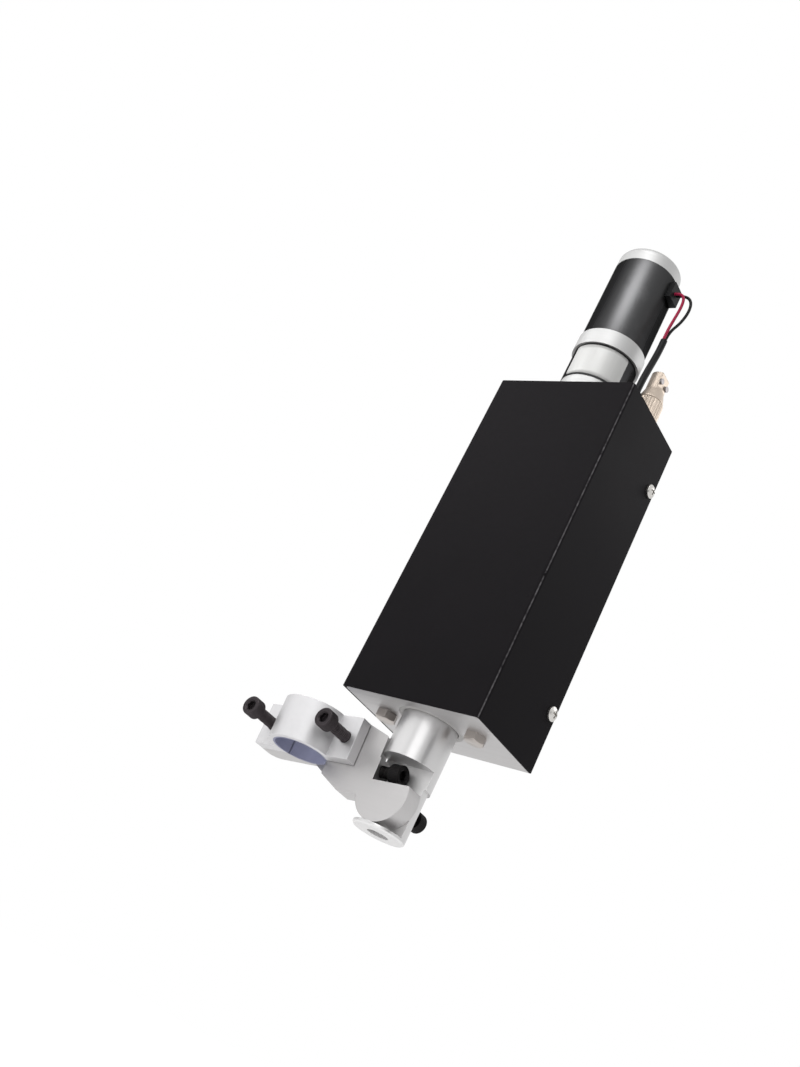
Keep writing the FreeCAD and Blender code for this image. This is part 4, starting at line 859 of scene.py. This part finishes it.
class LIFTER_OT_leads(Maker, bpy.types.Operator):
    """Lay the motor's red and black leads and their sleeve on smooth curves"""
    bl_idname = "lifter.leads"
    bl_label = "Motor leads"

    def lead(self, name, route, radius, lead_length, slot, node):
        data = bpy.data.curves.new(name, "CURVE")
        data.dimensions = "3D"
        data.bevel_depth = radius
        data.bevel_resolution = LEAD_BEVEL_STEPS
        data.resolution_u = LEAD_CURVE_STEPS
        data.use_fill_caps = True
        spline = data.splines.new("NURBS")
        spline.points.add(len(route) - 1)
        for point, spot in zip(spline.points, route):
            point.co = (*[part * MM for part in spot], 1.0)
        spline.order_u = 3
        spline.use_endpoint_u = True
        made = put_in_scene(name, data)
        data.materials.append(self.finish(slot))
        keep(made, "housing", slot, node)

    def execute(self, context):
        sizes = self.sizes
        self.lead("sleeve", SLEEVE_ROUTE, sizes.sleeve_radius, sizes.sleeve_length,
                  "black_plastic", "lead_sleeve")
        self.lead("red_lead", RED_ROUTE, sizes.lead_radius, sizes.red_length,
                  "red_plastic", "lead_red")
        self.lead("black_lead", BLACK_ROUTE, sizes.lead_radius, sizes.black_length,
                  "black_plastic", "lead_black")
        return {"FINISHED"}


class LIFTER_OT_housing(Maker, bpy.types.Operator):
    """Finish the powder coated cover and the plates of the housing"""
    bl_idname = "lifter.housing"
    bl_label = "Housing"

    def execute(self, context):
        self.finish_nodes("black_paint", "machined_aluminium", "sheet_steel", "black_rubber",
                          "pale_seal", "black_plastic")
        return {"FINISHED"}


class LIFTER_OT_works(Maker, bpy.types.Operator):
    """Finish the lift rod, the guides, the screw drive and the small steel parts"""
    bl_idname = "lifter.works"
    bl_label = "Rod and works"

    def execute(self, context):
        self.finish_nodes("polished_aluminium", "ground_steel", "brass", "black_oxide",
                          "bright_steel")
        return {"FINISHED"}


class LIFTER_OT_holder(Maker, bpy.types.Operator):
    """Finish the torch holder's cap and liner"""
    bl_idname = "lifter.holder"
    bl_label = "Torch holder"

    def execute(self, context):
        self.finish_nodes("violet_liner")
        # The holder cap takes the paler copy of the milled aluminium
        dress(NODES["holder_cap"], self.finish("blasted_aluminium"))
        return {"FINISHED"}


class LIFTER_OT_socket_screws(Maker, bpy.types.Operator):
    """Make the knurled and threaded socket head screws of the arm and its pivot"""
    bl_idname = "lifter.socket_screws"
    bl_label = "Socket head screws"

    def screws(self, name, tree, node, body, axis, sign, axes=FRAME_AXES, finish="black_oxide"):
        """One screw for each solid of a node, with its head at one end of an axis."""
        sizes = self.sizes
        facing = Vector((0, 0, 0))
        facing[axis] = sign
        places = []
        boxes = solid_boxes(node, axes)
        for low, high in boxes:
            seat = (low + high) / 2
            crown = high[axis] if sign > 0 else low[axis]
            seat[axis] = crown - sign * sizes.screw_head
            places.append((axes @ seat, axes.to_3x3() @ facing))
        low, high = boxes[-1]
        reach = high[axis] - low[axis] - sizes.screw_head
        made = grown(name, tree, places, self.finish(finish), Shank_Length=reach,
                     Ridges=sizes.screw_ridges, Head_Height=sizes.screw_head,
                     Shank_Radius=sizes.screw_radius, Pitch=sizes.screw_pitch,
                     Socket_Flats=sizes.screw_socket)
        keep(made, body, "black_oxide", node)

    def execute(self, context):
        tree = socket_screw_tree()
        # The holder's clamp screws take the oxide copy painted lighter, for the light on them
        self.screws("holder_socket_screws", tree, "cap_screws", "arm", axis=Y_AXIS, sign=-1,
                    finish="browned_oxide")
        self.screws("side_socket_screw", tree, "arm_side_screw", "arm", axis=X_AXIS, sign=1,
                    axes=ARM)
        self.screws("pivot_socket_screw", tree, "pivot_bolt", "lift", axis=Y_AXIS, sign=1)
        return {"FINISHED"}


class LIFTER_OT_small_screws(Maker, bpy.types.Operator):
    """Make the cover's cross recess screws and the hexagon bolts of the end plates"""
    bl_idname = "lifter.small_screws"
    bl_label = "Pan heads and hexagon bolts"

    def pan_screws(self):
        sizes = self.sizes
        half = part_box("front_cover")[1].x
        places = []
        boxes = solid_boxes("cover_screws")
        for low, high in boxes:
            side = 1 if high.x > 0 else -1
            middle = (low + high) / 2
            places.append(((side * half, middle.y, middle.z), (side, 0, 0)))
        low, high = boxes[-1]
        made = grown("cover_pan_screws", pan_screw_tree(), places, self.finish("bright_steel"),
                     Head_Radius=(high.z - low.z) / 2,
                     Head_Height=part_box("cover_screws")[1].x - half,
                     Recess_Length=sizes.recess_length, Recess_Width=sizes.recess_width,
                     Recess_Depth=sizes.recess_depth)
        keep(made, "housing", "bright_steel", "cover_screws")

    def hex_bolts(self, name, tree, node, seat, sign):
        places = []
        for low, high in solid_boxes(node):
            middle = (low + high) / 2
            places.append(((middle.x, middle.y, seat), (0, 0, sign)))
        made = grown(name, tree, places, self.finish("plain_steel"))
        keep(made, "housing", "bright_steel", node)

    def execute(self, context):
        self.pan_screws()
        tree = hex_head_tree()
        foot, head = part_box("bottom_plate")[0].z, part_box("top_plate")[1].z
        self.hex_bolts("bottom_hex_bolts", tree, "bottom_guide_bolts", foot, -1)
        self.hex_bolts("top_hex_bolts", tree, "top_guide_bolts", head, 1)
        return {"FINISHED"}


class LIFTER_OT_motor(Maker, bpy.types.Operator):
    """Finish the gearmotor and wrap the blank foil label round its gearbox"""
    bl_idname = "lifter.motor"
    bl_label = "Gearmotor"

    def label(self):
        """Curved foil with rounded corners, laid in columns round the gearbox."""
        sizes = self.sizes
        low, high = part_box("gearbox_body")
        centre = (low + high) / 2
        radius = (high.x - low.x) / 2 + LABEL_GAP
        base, top = low.z + sizes.label_margin, high.z - sizes.label_margin
        reach = (sizes.label_end - sizes.label_start) * radius
        bend = sizes.label_corner
        turns = [math.pi / 2 * step / LABEL_CORNER_STEPS for step in range(LABEL_CORNER_STEPS + 1)]
        corner = [bend * (1 - math.cos(turn)) for turn in turns]
        middle = [bend + (reach - 2 * bend) * step / LABEL_COLUMNS
                  for step in range(1, LABEL_COLUMNS)]
        mesh = bmesh.new()
        columns = []
        for along in corner + middle + [reach - part for part in reversed(corner)]:
            depth = max(0.0, bend - along, along - reach + bend)
            inset = bend - math.sqrt(max(0.0, bend ** 2 - depth ** 2))
            turn = sizes.label_start + along / radius
            spot = (centre.x + radius * math.sin(turn), centre.y - radius * math.cos(turn))
            heights = [base + inset + (top - base - 2 * inset) * step / LABEL_ROWS
                       for step in range(LABEL_ROWS + 1)]
            columns.append([mesh.verts.new((*spot, height)) for height in heights])
        for left, right in zip(columns, columns[1:]):
            for row in range(LABEL_ROWS):
                mesh.faces.new((left[row], right[row], right[row + 1], left[row + 1]))
        bmesh.ops.recalc_face_normals(mesh, faces=mesh.faces)
        data = bpy.data.meshes.new("gearbox_label")
        mesh.to_mesh(data)
        mesh.free()
        smooth(data)
        made = put_in_scene("gearbox_label", data)
        thick = made.modifiers.new("thickness", "SOLIDIFY")
        thick.thickness = sizes.label_thickness
        thick.offset = 1
        dress(made, self.finish("foil"))
        keep(made, "housing", "motor_silver")

    def execute(self, context):
        self.finish_nodes("motor_black", "motor_silver")
        self.label()
        return {"FINISHED"}


class LIFTER_OT_connector(Maker, bpy.types.Operator):
    """Finish the round connector and make its knurled coupling ring"""
    bl_idname = "lifter.connector"
    bl_label = "Connector"

    def execute(self, context):
        sizes = self.sizes
        self.finish_nodes("connector_nickel", "red_plastic")
        dress(NODES["cable_clamp_screws"], self.finish("dull_steel"))
        low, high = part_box("connector_ring")
        middle = (low + high) / 2
        place = ((middle.x, middle.y, low.z), (0, 0, 1))
        made = grown("connector_knurled_ring", knurled_ring_tree(), [place],
                     self.finish("connector_nickel"), Radius=(high.x - low.x) / 2,
                     Height=high.z - low.z, Ridges=sizes.knurl_ridges,
                     Groove=sizes.knurl_depth, Bore=sizes.knurl_bore)
        keep(made, "housing", "connector_nickel", "connector_ring")
        return {"FINISHED"}


OPERATORS = (
    LIFTER_OT_stage, LIFTER_OT_leads, LIFTER_OT_housing, LIFTER_OT_works, LIFTER_OT_holder,
    LIFTER_OT_socket_screws, LIFTER_OT_small_screws, LIFTER_OT_motor, LIFTER_OT_connector)


class LIFTER_PT_panel(bpy.types.Panel):
    """Lists the lifter's operators, sizes and colours"""
    bl_idname = "LIFTER_PT_panel"
    bl_label = "Torch lifter"
    bl_space_type = "VIEW_3D"
    bl_region_type = "UI"
    bl_category = "Torch lifter"

    def draw(self, context):
        for operator in OPERATORS:
            self.layout.operator(operator.bl_idname)
        for group in (context.scene.lifter_sizes, context.scene.lifter_colours):
            column = self.layout.column()
            for name in group.__annotations__:
                column.prop(group, name)


CLASSES = (LifterColours, LifterSizes, *OPERATORS, LIFTER_PT_panel)


def register():
    for item in CLASSES:
        bpy.utils.register_class(item)
    bpy.types.Scene.lifter_colours = PointerProperty(type=LifterColours)
    bpy.types.Scene.lifter_sizes = PointerProperty(type=LifterSizes)


def unregister():
    del bpy.types.Scene.lifter_sizes
    del bpy.types.Scene.lifter_colours
    for item in reversed(CLASSES):
        bpy.utils.unregister_class(item)


def main():
    register()
    for operator in OPERATORS:
        group, name = operator.bl_idname.split(".")
        getattr(getattr(bpy.ops, group), name)()


if __name__ == "__main__":
    main()
